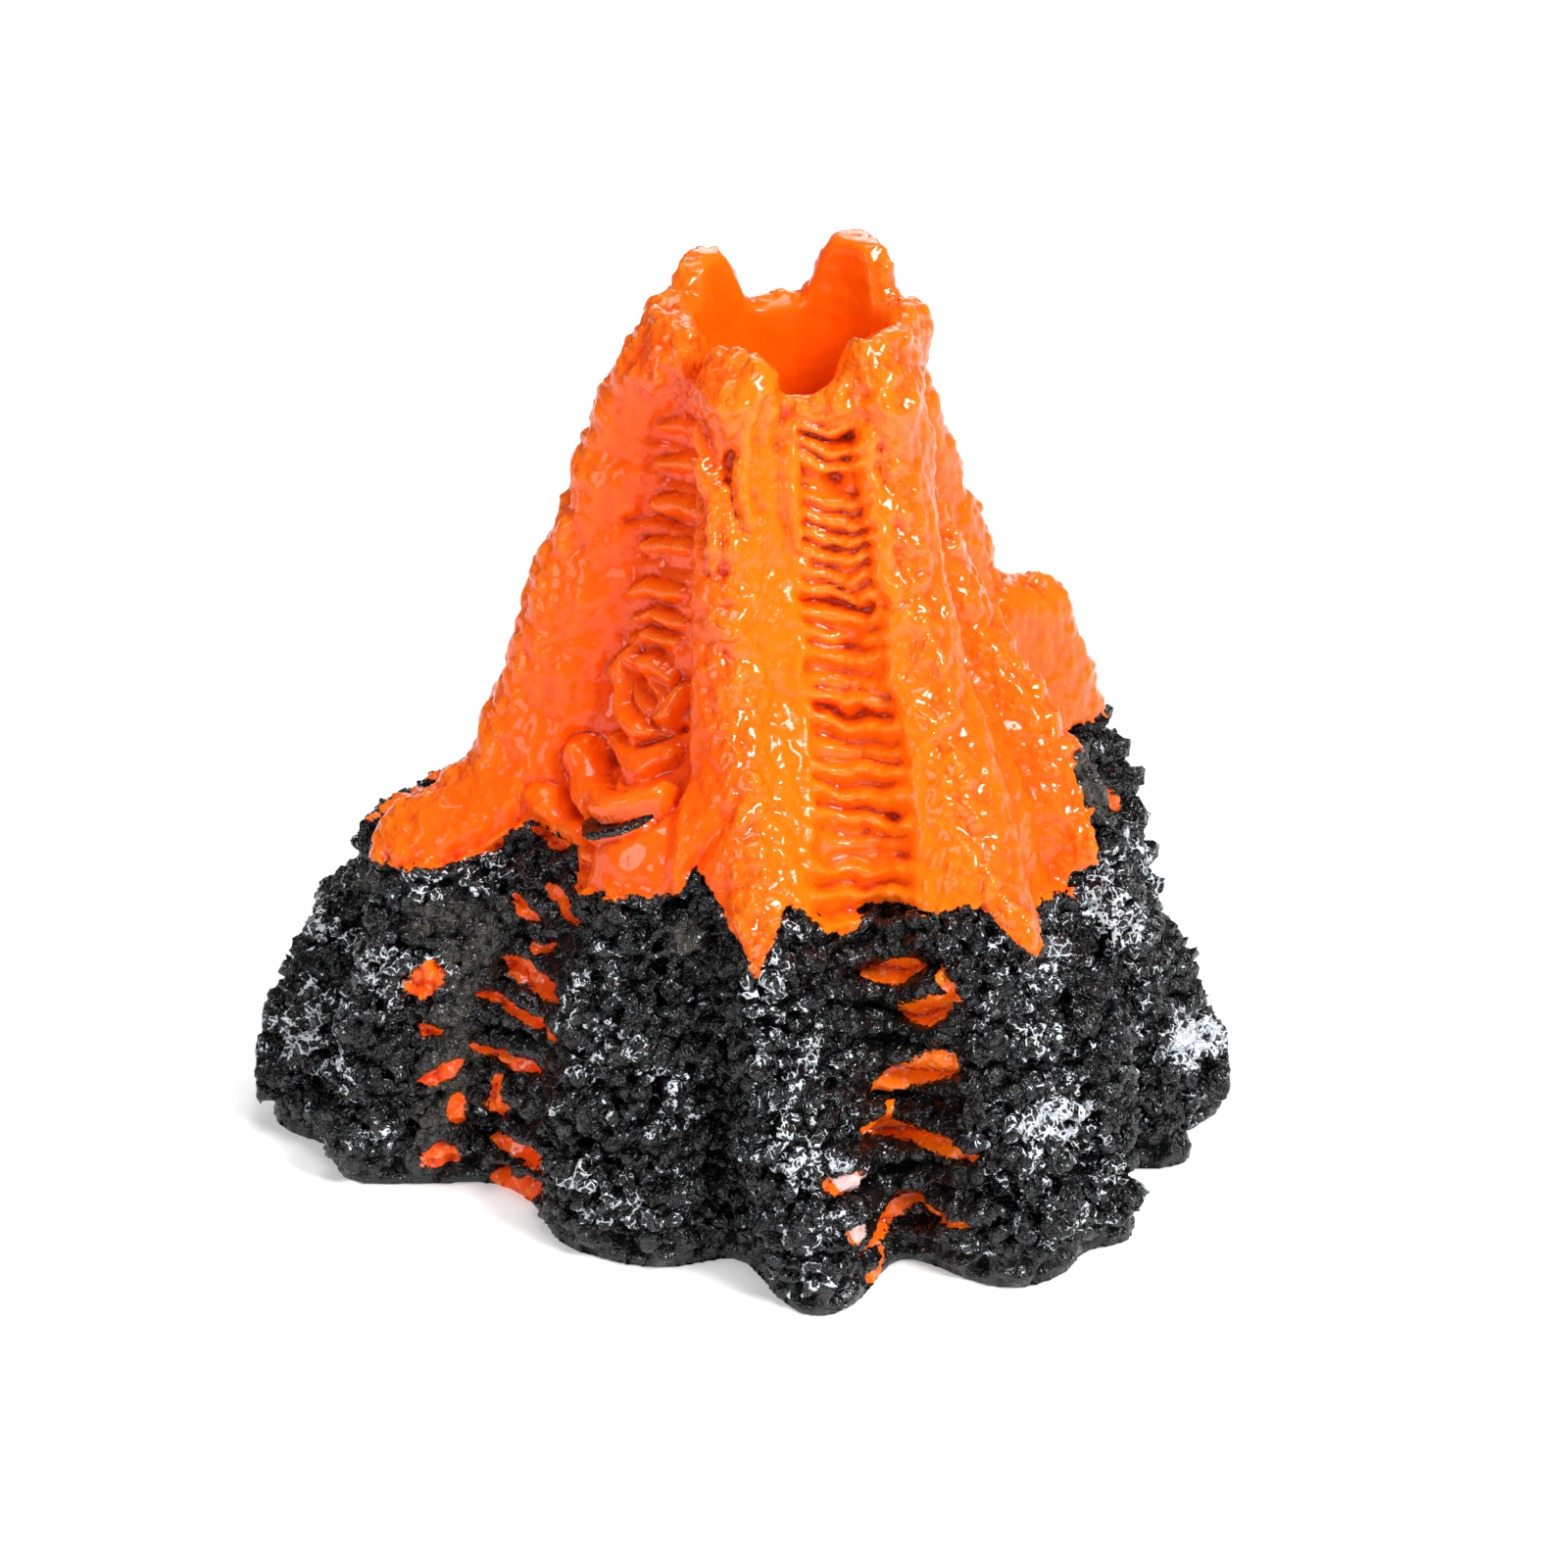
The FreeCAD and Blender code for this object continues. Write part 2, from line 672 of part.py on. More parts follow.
def valve_plug():
    """The turning plug: a cross hole lets air through, an O-ring groove seals it, a square drives it."""
    body = new_body("valve_plug")
    radius = size("plug_radius") - size("plug_clearance")
    foot = size("plug_foot") + size("plug_foot_clearance")
    top, ring = size("boss_top"), size("ring_height")
    section = size("ring_section") + size("plug_clearance")
    groove = radius - size("ring_section") * 2
    turned(body, "stem", [
        (0, foot), (radius, foot), (radius, ring - section), (groove, ring - section),
        (groove, ring + section), (radius, ring + section), (radius, top), (0, top),
    ])
    sketch = sketch_on(body, "drive", "XY_Plane", top)
    half = size("drive_square") * 0.5
    polygon(sketch, [(half, half), (-half, half), (-half, -half), (half, -half)])
    square = body.newObject("PartDesign::Pad", "drive_square")
    square.Profile = sketch
    bind(square, Length=size("lever_thickness") + size("lever_gap"))
    doc.recompute()
    hole = sketch_on(body, "cross_hole_outline", "XZ_Plane")
    circle(hole, size("spigot_bore_radius"), 0, size("line_height"))
    cross = body.newObject("PartDesign::Pocket", "cross_hole")
    cross.Profile = hole
    cross.Midplane = True
    cross.Type = "ThroughAll"
    place(body, "valve_plug", (0, valve_start + size("valve_length") * 0.5, 0))
    return body


def plug_o_ring():
    ring = doc.addObject("Part::Torus", "plug_o_ring")
    bind(ring, Radius1=size("plug_radius") - size("ring_section") - 0.02, Radius2=size("ring_section"))
    place(ring, "plug_o_ring", (0, valve_start + size("valve_length") * 0.5, size("ring_height")))
    return ring


def valve_lever():
    """The handle: a round hub and a tapered arm that lies along the line when the valve is open."""
    body = new_body("valve_lever")
    arm_root = size("lever_hub_radius") * 0.75
    hub, tip = size("lever_hub_radius"), size("lever_tip_radius")
    thickness, reach, half = size("lever_thickness"), size("lever_reach"), size("drive_square") * 0.5
    sketch = sketch_on(body, "hub_outline", "XY_Plane")
    circle(sketch, hub)
    pad = body.newObject("PartDesign::Pad", "hub")
    pad.Profile = sketch
    bind(pad, Length=thickness)
    arm_outline = sketch_on(body, "arm_outline", "XY_Plane")
    polygon(arm_outline, [(arm_root, 0), (tip, reach), (-tip, reach), (-arm_root, 0)])
    arm = body.newObject("PartDesign::Pad", "arm")
    arm.Profile = arm_outline
    bind(arm, Length=thickness)
    end_outline = sketch_on(body, "end_outline", "XY_Plane")
    circle(end_outline, tip, 0, reach)
    end = body.newObject("PartDesign::Pad", "arm_end")
    end.Profile = end_outline
    bind(end, Length=thickness)
    doc.recompute()
    drive = sketch_on(body, "drive_outline", "XY_Plane")
    polygon(drive, [(half, half), (-half, half), (-half, -half), (half, -half)])
    socket = body.newObject("PartDesign::Pocket", "drive_socket")
    socket.Profile = drive
    socket.Midplane = True
    socket.Type = "ThroughAll"
    doc.recompute()
    edges = socket.Shape.Edges
    longest_socket_edge = 3.2 * half.number
    rim = [f"Edge{i + 1}" for i, edge in enumerate(edges)
           if all(abs(v.Z - thickness.number) < 1e-6 for v in edge.Vertexes)
           and edge.BoundBox.DiagonalLength > longest_socket_edge]
    soften = body.newObject("PartDesign::Fillet", "soft_edge")
    soften.Base = (socket, rim)
    bind(soften, Radius=size("lever_soft_edge"))
    place(body, "valve_lever",
          (0, valve_start + size("valve_length") * 0.5, size("boss_top") + size("lever_gap")))
    return body


# ---------------------------------------------------------------- tube clip and suction cup

clip_at = supply_end - size("clip_setback")


def line_clip():
    """A C-shaped clip round the tube, with a pin that plugs into the suction cup."""
    line, length, overshoot = size("line_height"), size("clip_length"), size("overshoot")
    inner = size("tube_outer_radius") + size("clip_clearance")
    outer = inner + size("clip_wall")
    near = clip_at - length * 0.5
    ring = cylinder("clip_ring", outer, length, (0, near, line), ALONG_LINE)
    pin = cylinder("clip_pin", size("pin_radius"), size("pin_length") + overshoot,
                   (0, clip_at, line - outer - size("pin_length")))
    blank = doc.addObject("Part::Fuse", "clip_blank")
    blank.Base, blank.Tool = ring, pin
    tunnel_start, tunnel_length = near - overshoot, length + overshoot * 2
    tunnel = cylinder("clip_tunnel", inner, tunnel_length, (0, tunnel_start, line), ALONG_LINE)
    mouth = doc.addObject("Part::Box", "clip_mouth")
    bind(mouth, Length=size("clip_mouth"), Width=tunnel_length, Height=outer + overshoot)
    place(mouth, "clip_mouth", (-(size("clip_mouth") * 0.5), tunnel_start, line))
    opening = doc.addObject("Part::Fuse", "clip_opening")
    opening.Base, opening.Tool = tunnel, mouth
    clip = doc.addObject("Part::Cut", "line_clip")
    clip.Base, clip.Tool = blank, opening
    clip.Label = "line_clip"
    return clip


def line_suction_cup():
    """A soft cup that holds the clip, and so the line, down on the glass."""
    body = new_body("line_suction_cup")
    lip, shoulder, top = size("cup_lip"), size("cup_shoulder_radius"), size("cup_height")
    radius, rise, pin = size("cup_radius"), size("cup_shoulder_height"), size("pin_radius")
    outline = [
        (0, rise * 0.45), (radius * 0.5, rise * 0.3), (radius - 0.5, 0), (radius, 0),
        (radius, lip * 0.5), (radius * 0.72, lip * 1.6), (shoulder, rise), (shoulder - 0.6, rise + 0.6),
        (shoulder - 0.6, top), (pin, top), (pin, rise + 0.4), (0, rise + 0.4),
    ]
    turned(body, "cup", outline)
    place(body, "line_suction_cup", (0, clip_at, 0))
    return body


# ---------------------------------------------------------------- build, check, export

pieces = [
    volcano_shell(),
    diffuser_dish(),
    sinker_weight(),
    diffuser_stone(),
    stone_gasket(),
    airline("short_airline", size("short_airline_length"), short_start, True),
    check_valve_outlet(),
    check_valve_inlet(),
    check_valve_disc(),
    airline("link_airline", size("link_airline_length"), link_start, True),
    valve_body(),
    valve_plug(),
    plug_o_ring(),
    valve_lever(),
    airline("supply_airline", size("supply_airline_length"), valve_end, False),
    line_clip(),
    line_suction_cup(),
]
doc.recompute()

failed = [o.Name for o in doc.Objects if "Invalid" in o.State or "Error" in o.State]
if failed:
    raise SystemExit(f"objects that failed to build: {failed}")
for piece in pieces:
    if piece.Shape.isNull() or not piece.Shape.isValid() or not piece.Shape.Solids:
        raise SystemExit(f"{piece.Label} has no valid solid")

os.makedirs("parts", exist_ok=True)
for piece in pieces:
    piece.Shape.exportStep(f"parts/{piece.Label}.step")
    box = piece.Shape.BoundBox
    print(f"{piece.Label:20s} solids {len(piece.Shape.Solids)}  volume {piece.Shape.Volume:9.1f}  "
          f"z {box.ZMin:6.2f} to {box.ZMax:6.2f}  y {box.YMin:6.2f} to {box.YMax:6.2f}")
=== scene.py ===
import json
import math

import bpy
import numpy as np
from mathutils import Matrix, Vector


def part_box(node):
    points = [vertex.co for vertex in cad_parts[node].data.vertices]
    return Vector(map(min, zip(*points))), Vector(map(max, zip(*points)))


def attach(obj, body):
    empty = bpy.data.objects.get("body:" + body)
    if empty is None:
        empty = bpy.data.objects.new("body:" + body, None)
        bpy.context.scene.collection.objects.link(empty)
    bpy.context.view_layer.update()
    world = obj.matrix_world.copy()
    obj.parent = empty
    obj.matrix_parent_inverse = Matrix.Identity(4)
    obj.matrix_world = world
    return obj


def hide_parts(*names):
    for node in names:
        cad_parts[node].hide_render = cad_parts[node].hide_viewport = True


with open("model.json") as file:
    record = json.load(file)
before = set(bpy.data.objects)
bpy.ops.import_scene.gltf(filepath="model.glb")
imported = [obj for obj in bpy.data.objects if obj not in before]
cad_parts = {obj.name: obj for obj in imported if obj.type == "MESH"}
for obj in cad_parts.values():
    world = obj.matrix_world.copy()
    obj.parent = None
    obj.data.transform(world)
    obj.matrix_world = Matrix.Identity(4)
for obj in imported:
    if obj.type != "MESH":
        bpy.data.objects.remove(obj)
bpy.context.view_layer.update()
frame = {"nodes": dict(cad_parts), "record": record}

# The looks of the bubbling ornament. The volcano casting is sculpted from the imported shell: a fine even
# mesh of it is pushed in and out along its normals, in millimetres, by the functions below. Bearings are
# in degrees round the vent, from +X towards +Y, so the front is at 270. Everything else keeps its CAD
# mesh and gets a procedural material.

MM = 0.001
VOXEL = 0.52

# ---------------------------------------------------------------- noise


def lattice(ix, iy, iz, seed):
    """A repeatable random number from 0 to 1 for each lattice point."""
    h = (ix * 374761393 + iy * 668265263 + iz * 1440662683 + seed * 1274126177) & 0xFFFFFFFF
    h = ((h ^ (h >> 13)) * 1103515245) & 0xFFFFFFFF
    h = ((h ^ (h >> 15)) * 668265263) & 0xFFFFFFFF
    return (h ^ (h >> 16)) / 4294967296.0


def gradient_noise(p, seed):
    """Smooth noise from about -1 to 1 at the points p, with features about one unit across."""
    cell = np.floor(p).astype(np.int64)
    f = p - cell
    w = f * f * f * (f * (f * 6 - 15) + 10)
    total = np.zeros(len(p))
    for dx in (0, 1):
        for dy in (0, 1):
            for dz in (0, 1):
                ix, iy, iz = cell[:, 0] + dx, cell[:, 1] + dy, cell[:, 2] + dz
                gx = lattice(ix, iy, iz, seed) - 0.5
                gy = lattice(ix, iy, iz, seed + 101) - 0.5
                gz = lattice(ix, iy, iz, seed + 211) - 0.5
                dot = gx * (f[:, 0] - dx) + gy * (f[:, 1] - dy) + gz * (f[:, 2] - dz)
                wx = w[:, 0] if dx else 1 - w[:, 0]
                wy = w[:, 1] if dy else 1 - w[:, 1]
                wz = w[:, 2] if dz else 1 - w[:, 2]
                total += wx * wy * wz * dot
    return total * 3.2


def layered(p, seed, octaves=3):
    """Noise with finer noise added to it, each layer half as strong as the last."""
    total, size, scale = np.zeros(len(p)), 1.0, 1.0
    for i in range(octaves):
        total += size * gradient_noise(p * scale + 17.3 * i, seed + 7 * i)
        size, scale = size * 0.5, scale * 2.03
    return total


def cells(p, seed):
    """Distance to the nearest and the second nearest of scattered points, one point to each unit cell."""
    base = np.floor(p).astype(np.int64)
    near = np.full(len(p), 9.0)
    second = np.full(len(p), 9.0)
    for dx in (-1, 0, 1):
        for dy in (-1, 0, 1):
            for dz in (-1, 0, 1):
                ix, iy, iz = base[:, 0] + dx, base[:, 1] + dy, base[:, 2] + dz
                ox = ix + lattice(ix, iy, iz, seed) - p[:, 0]
                oy = iy + lattice(ix, iy, iz, seed + 31) - p[:, 1]
                oz = iz + lattice(ix, iy, iz, seed + 67) - p[:, 2]
                d = np.sqrt(ox * ox + oy * oy + oz * oz)
                second = np.minimum(second, np.maximum(near, d))
                near = np.minimum(near, d)
    return near, second


def step(low, high, x):
    """Goes smoothly from 0 at low to 1 at high; low may be the larger of the two."""
    t = np.clip((x - low) / (high - low), 0, 1)
    return t * t * (3 - 2 * t)


def track(knots, z):
    """Reads a value at height z from (height, value) knots."""
    rows = sorted(knots)
    return np.interp(z, [k[0] for k in rows], [k[1] for k in rows])


def turn(bearing, other):
    """The turn in degrees from one bearing to another, from -180 to 180."""
    return (bearing - other + 180) % 360 - 180


# ---------------------------------------------------------------- where things are on the volcano

# Crest lines of the fins, as (height, bearing).
CRESTS = {
    "left": [(116, 182), (104, 184), (73, 187), (52, 190), (43, 196), (0, 205)],
    "front_left": [
        (115, 242), (98, 242), (84, 250), (74, 254), (65, 259.5), (48, 264.5), (30, 269), (0, 273),
    ],
    "front_right": [(115, 312), (98, 308), (78, 306.5), (60, 303), (44, 303), (0, 301)],
    "right_rib": [(95, 345), (58, 340), (46, 336), (0, 336)],
    "rear_right": [(120, 27), (72, 29), (41, 29), (0, 20)],
    "rear": [(120, 60), (0, 60)],
    "rear_left": [(120, 140), (68, 130), (0, 128)],
}
# The front channel: the spacing of its folds at each height, and the heights of its deep pockets.
LADDER_PITCH = [(109, 2.2), (80, 2.6), (43, 3.0)]
LADDER_POCKETS = [104, 98, 82, 73, 69, 65, 53]
# Its centre line, as (height, bearing), its half width at each height, and where its folds end.
LADDER = [(112, 286.5), (80, 286.5), (66, 286), (55, 284.5), (43, 281.5)]
LADDER_HALF = [(110, 3.4), (90, 4.6), (66, 5.2), (55, 6.2), (43, 7.4)]
LADDER_TOP, LADDER_FOOT = 109, 45
# The other channels of folds, at the front and the back: centre line, half width, where they end, fold
# spacing, how far the folds sag in the middle, how far they tilt, how much they stand out and how deep
# the channel is.
FOLDS = [
    dict(line=[(90, 326), (60, 322), (46, 318)], wide=[(90, 2.5), (60, 4.0), (46, 5.0)], top=92, foot=46,
         pitch=[(90, 2.4), (46, 3.4)], sag=0.04, tilt=0.1, lift=0.5, dent=0.5, seed=8),
    dict(line=[(110, 44), (60, 45), (46, 44)], wide=[(110, 3.0), (60, 6.0), (46, 7.0)], top=108, foot=47,
         pitch=[(105, 2.2), (46, 3.8)], sag=0.06, tilt=0.0, lift=0.9, dent=1.4, seed=11),
    dict(line=[(110, 100), (60, 96), (46, 95)], wide=[(110, 4.5), (60, 9.0), (46, 10.5)], top=108, foot=46,
         pitch=[(105, 2.4), (46, 4.4)], sag=0.045, tilt=0.0, lift=1.2, dent=1.6, seed=13),
    dict(line=[(110, 161), (60, 157), (46, 155)], wide=[(110, 3.5), (60, 7.0), (46, 8.0)], top=108, foot=47,
         pitch=[(105, 2.4), (46, 4.2)], sag=0.05, tilt=-0.06, lift=1.1, dent=1.4, seed=17),
    dict(line=[(48, 219), (30, 223), (0, 227)], wide=[(48, 6.5), (0, 6.5)], top=46, foot=2.5,
         pitch=[(45, 3.4), (0, 3.8)], sag=0.03, tilt=0.30, lift=2.0, dent=1.9, seed=21),
    dict(line=[(47, 286), (28, 287.5), (10, 285), (0, 283)], wide=[(47, 6.3), (0, 7.2)], top=43, foot=2.5,
         pitch=[(45, 3.6), (20, 4.4), (0, 4.2)], sag=0.045, tilt=-0.3, lift=3.2, dent=2.4, seed=25),
    dict(line=[(45, 44), (0, 41)], wide=[(45, 7.0), (0, 8.0)], top=44, foot=3.0,
         pitch=[(45, 4.6), (0, 5.0)], sag=0.03, tilt=0.2, lift=1.1, dent=1.2, seed=27),
    dict(line=[(45, 157), (0, 158)], wide=[(45, 7.0), (0, 8.0)], top=43, foot=3.0,
         pitch=[(45, 4.8), (0, 5.0)], sag=0.03, tilt=-0.25, lift=1.1, dent=1.2, seed=29),
    dict(line=[(45, 96), (24, 96)], wide=[(45, 9.0), (24, 9.5)], top=43, foot=28,
         pitch=[(45, 4.8), (24, 5.0)], sag=0.03, tilt=0.15, lift=1.0, dent=0.8, seed=30),
]
# The left channel runs between these two lines; its depth changes with height.
LEFT_CHANNEL_START = [(116, 208), (104, 204), (80, 203), (60, 203), (46, 207)]
LEFT_CHANNEL_END = [(116, 224), (100, 230), (90, 237), (76, 240), (62, 246), (46, 250)]
LEFT_CHANNEL_DEPTH = [(116, 1.6), (104, 1.8), (80, 2.2), (60, 2.6), (48, 1.2)]
# Rolls of lava in the left channel: points as (bearing, height), half thickness and how far each stands out.
ROLLS = [
    ([(211, 73), (208, 69), (213, 65), (224, 64.5), (233, 67), (235, 71)], 1.7, 2.2),
    ([(206, 58.5), (213, 54), (225, 54), (236, 57), (241, 59.5)], 2.9, 3.2),
    ([(212, 61), (226, 61.5), (238, 63.5)], 1.6, 1.8),
    ([(203, 52), (211, 49.5), (221, 49), (228, 50)], 2, 1.8), ([(213, 72), (222, 73), (231, 72)], 1, 1.3),
    ([(208, 74), (217, 76), (230, 76.5)], 0.9, 1.2), ([(208, 77), (217, 79), (231, 79)], 0.9, 1.2),
    ([(206, 80), (213, 82), (228, 83)], 1.2, 1.5), ([(207, 86.5), (214, 88), (228, 89)], 1.1, 1.4),
    ([(207, 92.5), (215, 93.5), (227, 94)], 1.2, 1.3), ([(206, 98), (215, 99), (226, 99.5)], 1.1, 1.2),
    ([(205, 103), (213, 104), (222, 104)], 1.1, 1),
    ([(232, 106), (237, 100), (243, 95), (246, 88)], 1.2, 0.9),
    ([(252, 108), (250, 101), (255, 94)], 1.1, 0.8), ([(268, 106), (270, 98), (272, 90)], 1.2, 0.7),
    ([(299, 106), (300, 96), (300, 84)], 1.6, 0.8),
]
# Creases and pockets in the lava: points, half width, depth.
CREASES = [
    ([(212.5, 71), (218, 70), (225, 69)], 0.8, 1.5), ([(227, 66), (232, 66), (237, 66.5)], 0.9, 2.6),
    ([(205, 59.5), (212, 58.5), (219, 58.5)], 0.5, 1), ([(202.5, 48.5), (201.5, 44)], 1, 1.8),
    ([(201, 89.5), (206.5, 91), (226, 91.5)], 0.6, 1.3), ([(207, 96), (224, 97)], 0.5, 0.9),
    ([(216, 85.5), (228, 86)], 1.1, 1), ([(211, 75), (229, 74.5)], 0.5, 0.8),
    ([(203, 101), (220, 101.5)], 0.5, 0.8), ([(219, 53.5), (230, 54.5), (241, 57.5)], 1, 3),
    ([(222, 118), (224, 106), (227, 98)], 1.7, 1.8), ([(267, 114), (266, 104)], 1.3, 1.5),
    ([(299, 114), (297, 105)], 1.3, 1.5), ([(176, 120), (178, 110)], 1.3, 0.9),
    ([(251, 52), (254, 55), (257, 60)], 1, 1), ([(287.5, 98.5), (288.5, 98.5)], 1.2, 2),
    ([(286, 77.5), (288.5, 78)], 1, 2.2), ([(293.5, 70.5), (295, 71.5)], 0.9, 1.9),
    ([(290.5, 57), (290.5, 57.5)], 0.7, 1.6), ([(245, 99.5), (245, 101)], 0.7, 1.5),
    ([(289, 47.5), (289.5, 48)], 0.45, 1), ([(284, 47), (284.5, 47)], 0.45, 1),
    ([(286, 89.5), (286, 90)], 0.4, 0.8), ([(291, 53), (292.5, 53)], 0.8, 0.8),
    ([(245, 103), (248, 98), (250, 95)], 0.7, 1.1), ([(257, 108), (257.5, 109)], 0.5, 0.8),
    ([(303.5, 103), (303.5, 103.5)], 0.5, 0.8),
]
# Knobs: bearing, height, radius, how far each stands out.
KNOBS = [
    (243, 109.5, 4.6, 3), (313, 108.5, 5, 2.6), (200, 111, 5, 2.6), (155, 116, 4.5, 1), (62, 117, 5, 0.8),
    (186, 104, 3.5, 0.8), (334, 103, 3.5, 0.8), (238, 53, 8, 3.4), (250, 54.5, 4.5, 1),
    (192.5, 45, 6.5, 3.8), (345, 13, 5, 1.8), (339, 18, 4, 1), (23.5, 66, 4, 0.8), (22, 58, 4.5, 0.6),
    (188.5, 73, 4, 0.9), (187, 62, 4.5, 0.8), (352, 24, 6, 1.6), (184, 22, 6, 1), (100, 112, 4.5, 1.2),
    (20, 112, 4.5, 1),
]
# Gaps where black shows between the rolls of lava: points, half width.
GAPS = [([(222.5, 53.4), (231, 54.4), (241, 57.3)], 0.75)]
# Streaks of orange in the black rock, each under a lip: from one bearing to another, the height where each
# starts, how far it rises, half thickness.
STREAKS = [
    (207, 208, 31, -4, 1.3), (209, 210, 23, -1, 0.7), (210, 212, 15, 3, 1), (213, 214, 13, -4, 0.6),
    (213, 214, 6, -3, 1.4), (213, 228, 32, -1, 1.5), (212, 230, 27, -1, 1), (213, 224, 20, -1, 1.2),
    (217, 218, 16, -5, 1.4), (218, 232, 7, 2, 1.5), (218, 227, 1, 1, 2), (215, 229, 42, 0, 1.4),
    (210, 216, 40, -2, 0.8), (216, 221, 35, 1, 0.6), (206, 218, 48, 0, 0.8), (283, 290, 38, 3, 1.2),
    (287, 293, 34, 4, 1.2), (293, 294, 42, -4, 0.6), (283, 292, 24, 7, 1.4), (280, 293, 20, -2, 1.4),
    (282, 285, 18, 4, 0.9), (280, 287, 5, 4, 1.3), (287, 293, 9, 0, 0.6), (280, 283, 1, 2, 0.8),
    (20, 21, 42, -8, 0.6), (343, 344, 52, -8, 1.1),
]
# Streaks that are pinkish white.
PALE_STREAKS = [(275, 281, 17, -2, 1), (277, 281, 10, -1, 0.9)]
# How far a streak sags in the middle.
STREAK_SAG = 1
# The lower edge of the orange paint, as (bearing, height): it hangs lowest on the fins.
PAINT_EDGE = [
    (0, 46), (33, 48), (60, 42), (75, 48), (112, 49), (128, 42), (140, 47), (170, 45), (190, 41), (202, 43),
    (204, 48), (222, 49), (226, 45), (236, 48), (250, 49), (252, 53), (258, 49), (265, 43), (269, 50),
    (280, 43), (288, 47), (300, 49), (305, 42), (312, 44), (328, 41), (334, 45), (337, 57), (343, 58),
    (352, 48), (360, 46),
]
# Where the pale dry-brushing is thickest: bearing, height, spread in mm sideways and upwards, strength.
FROST = [
    (266.5, 40, 2.6, 5, 0.9), (267.5, 35, 2.6, 5, 0.9), (269.5, 28, 3.6, 6, 1.1), (271.5, 20, 4, 5, 1.1),
    (273, 12, 3.5, 4, 0.6), (274, 2.5, 8, 2.5, 1.1), (285, 2, 6, 2, 0.7), (279, 9, 2.5, 2, 0.8),
    (277, 17, 2.5, 2, 0.8), (301, 23, 5, 3.2, 1.6), (306, 19, 4.5, 3.4, 1.6), (299, 15.5, 4, 3, 1.2),
    (302.5, 36, 3.5, 6, 0.9), (334, 38, 3.5, 5, 1.5), (332, 31, 4, 5, 0.6), (318, 40, 6, 4, 0.7),
    (340, 17, 3.5, 2.4, 3), (346, 13.5, 4.5, 2.6, 3.2), (351, 10, 3, 2, 1.5), (310, 8, 6, 4, 0.5),
    (186, 27, 4, 3, 1), (203, 28, 4, 4, 0.9), (192, 14, 6, 3.5, 0.9), (203, 16, 4, 3, 0.8),
    (186, 19, 4, 3, 0.8), (205, 9, 3, 3, 0.7), (204, 41, 3, 3, 0.5), (211, 38, 2.5, 2, 0.5),
    (224, 34.5, 3.5, 1.2, 0.9), (236, 35, 4, 1.6, 0.9), (240, 31, 5, 1.4, 1), (237, 26, 3, 1.6, 0.7),
    (250, 27, 6, 1.4, 0.9), (241, 11, 4, 1.2, 1.1), (248, 9.5, 3, 1.2, 1), (254, 20, 4, 1.2, 0.8),
    (245, 6.5, 5, 1.2, 0.9), (251, 2, 5, 1.5, 1), (247, 38, 5, 4, 0.4), (322, 30, 6, 5, 0.4),
    (60, 30, 8, 8, 0.7), (128, 25, 9, 9, 0.75), (20, 20, 7, 8, 0.7), (176, 38, 8, 4, 0.6),
    (100, 38, 12, 3, 0.5), (75, 15, 8, 5, 0.7), (110, 12, 8, 5, 0.7), (150, 12, 8, 5, 0.6),
]
FROST_EVERYWHERE = 0.1
# Smooth grey-brown runs, where the black is thin: bearing, height, spread in mm sideways and upwards.
BARE = [
    (210, 33, 1.3, 5), (211, 26, 1.2, 5), (212, 18, 1.2, 5), (212.5, 10, 1.2, 5), (205, 37, 2, 2),
    (338, 54, 3.5, 3.5), (252, 44, 2, 2), (188, 36, 3, 2),
]
# Changes to the crater's edge: bearing, half width in degrees, and lift.
RIM_LOBES = [(254, 6.5, 2.0), (303, 6, 1.8), (219, 7, -4.0)]
# The hollow inside: (height, radius).
HOLLOW = [(0, 46), (22, 41), (44, 30), (70, 14), (80, 10.5), (88, 10.5), (128, 14.2)]
# The top of the plain band round the foot.
SKIRT_TOP = 4.0
# The arch at the back: half its width, and the height where its curve starts.
ARCH_HALF, ARCH_SPRING = 12.0, 15.0

# The height of one rock ledge, and the sizes of the rock's and the lava's forms along x, y and z.
SHELF_PITCH = 4.6
CHUNK_SIZE = np.array([6.6, 6.6, 5.2])
NODULE_SIZE = np.array([3.4, 3.4, 2.6])
PIT_SIZE = np.array([3.8, 3.8, 2.8])
PEBBLE_SIZE = np.array([2.3, 2.3, 3.0])
# Half the width of a crest, as a form and as a band of pebbles.
CREST_HALF, PEBBLED_HALF = 3.6, 4.4

# ---------------------------------------------------------------- the casting's mesh


def link(ob):
    """Puts an object in the scene."""
    bpy.context.scene.collection.objects.link(ob)


def even_mesh(node, voxel):
    """An even, closed quad mesh of a CAD node, in millimetres."""
    mesh = frame["nodes"][node].data.copy()
    mesh.materials.clear()
    mesh.transform(Matrix.Scale(1 / MM, 4))
    work = bpy.data.objects.new("work", mesh)
    link(work)
    remesh = work.modifiers.new("even", "REMESH")
    remesh.mode = "VOXEL"
    remesh.voxel_size = voxel
    remesh.adaptivity = 0.0
    graph = bpy.context.evaluated_depsgraph_get()
    made = bpy.data.meshes.new_from_object(work.evaluated_get(graph))
    bpy.data.objects.remove(work)
    return made


def read_points(mesh):
    co = np.empty(len(mesh.vertices) * 3, np.float32)
    mesh.vertices.foreach_get("co", co)
    return co.reshape(-1, 3).astype(float)


def write_points(mesh, points):
    mesh.vertices.foreach_set("co", points.astype(np.float32).ravel())
    mesh.update()


def read_normals(mesh):
    n = np.empty(len(mesh.vertices) * 3, np.float32)
    mesh.vertex_normals.foreach_get("vector", n)
    return n.reshape(-1, 3).astype(float)


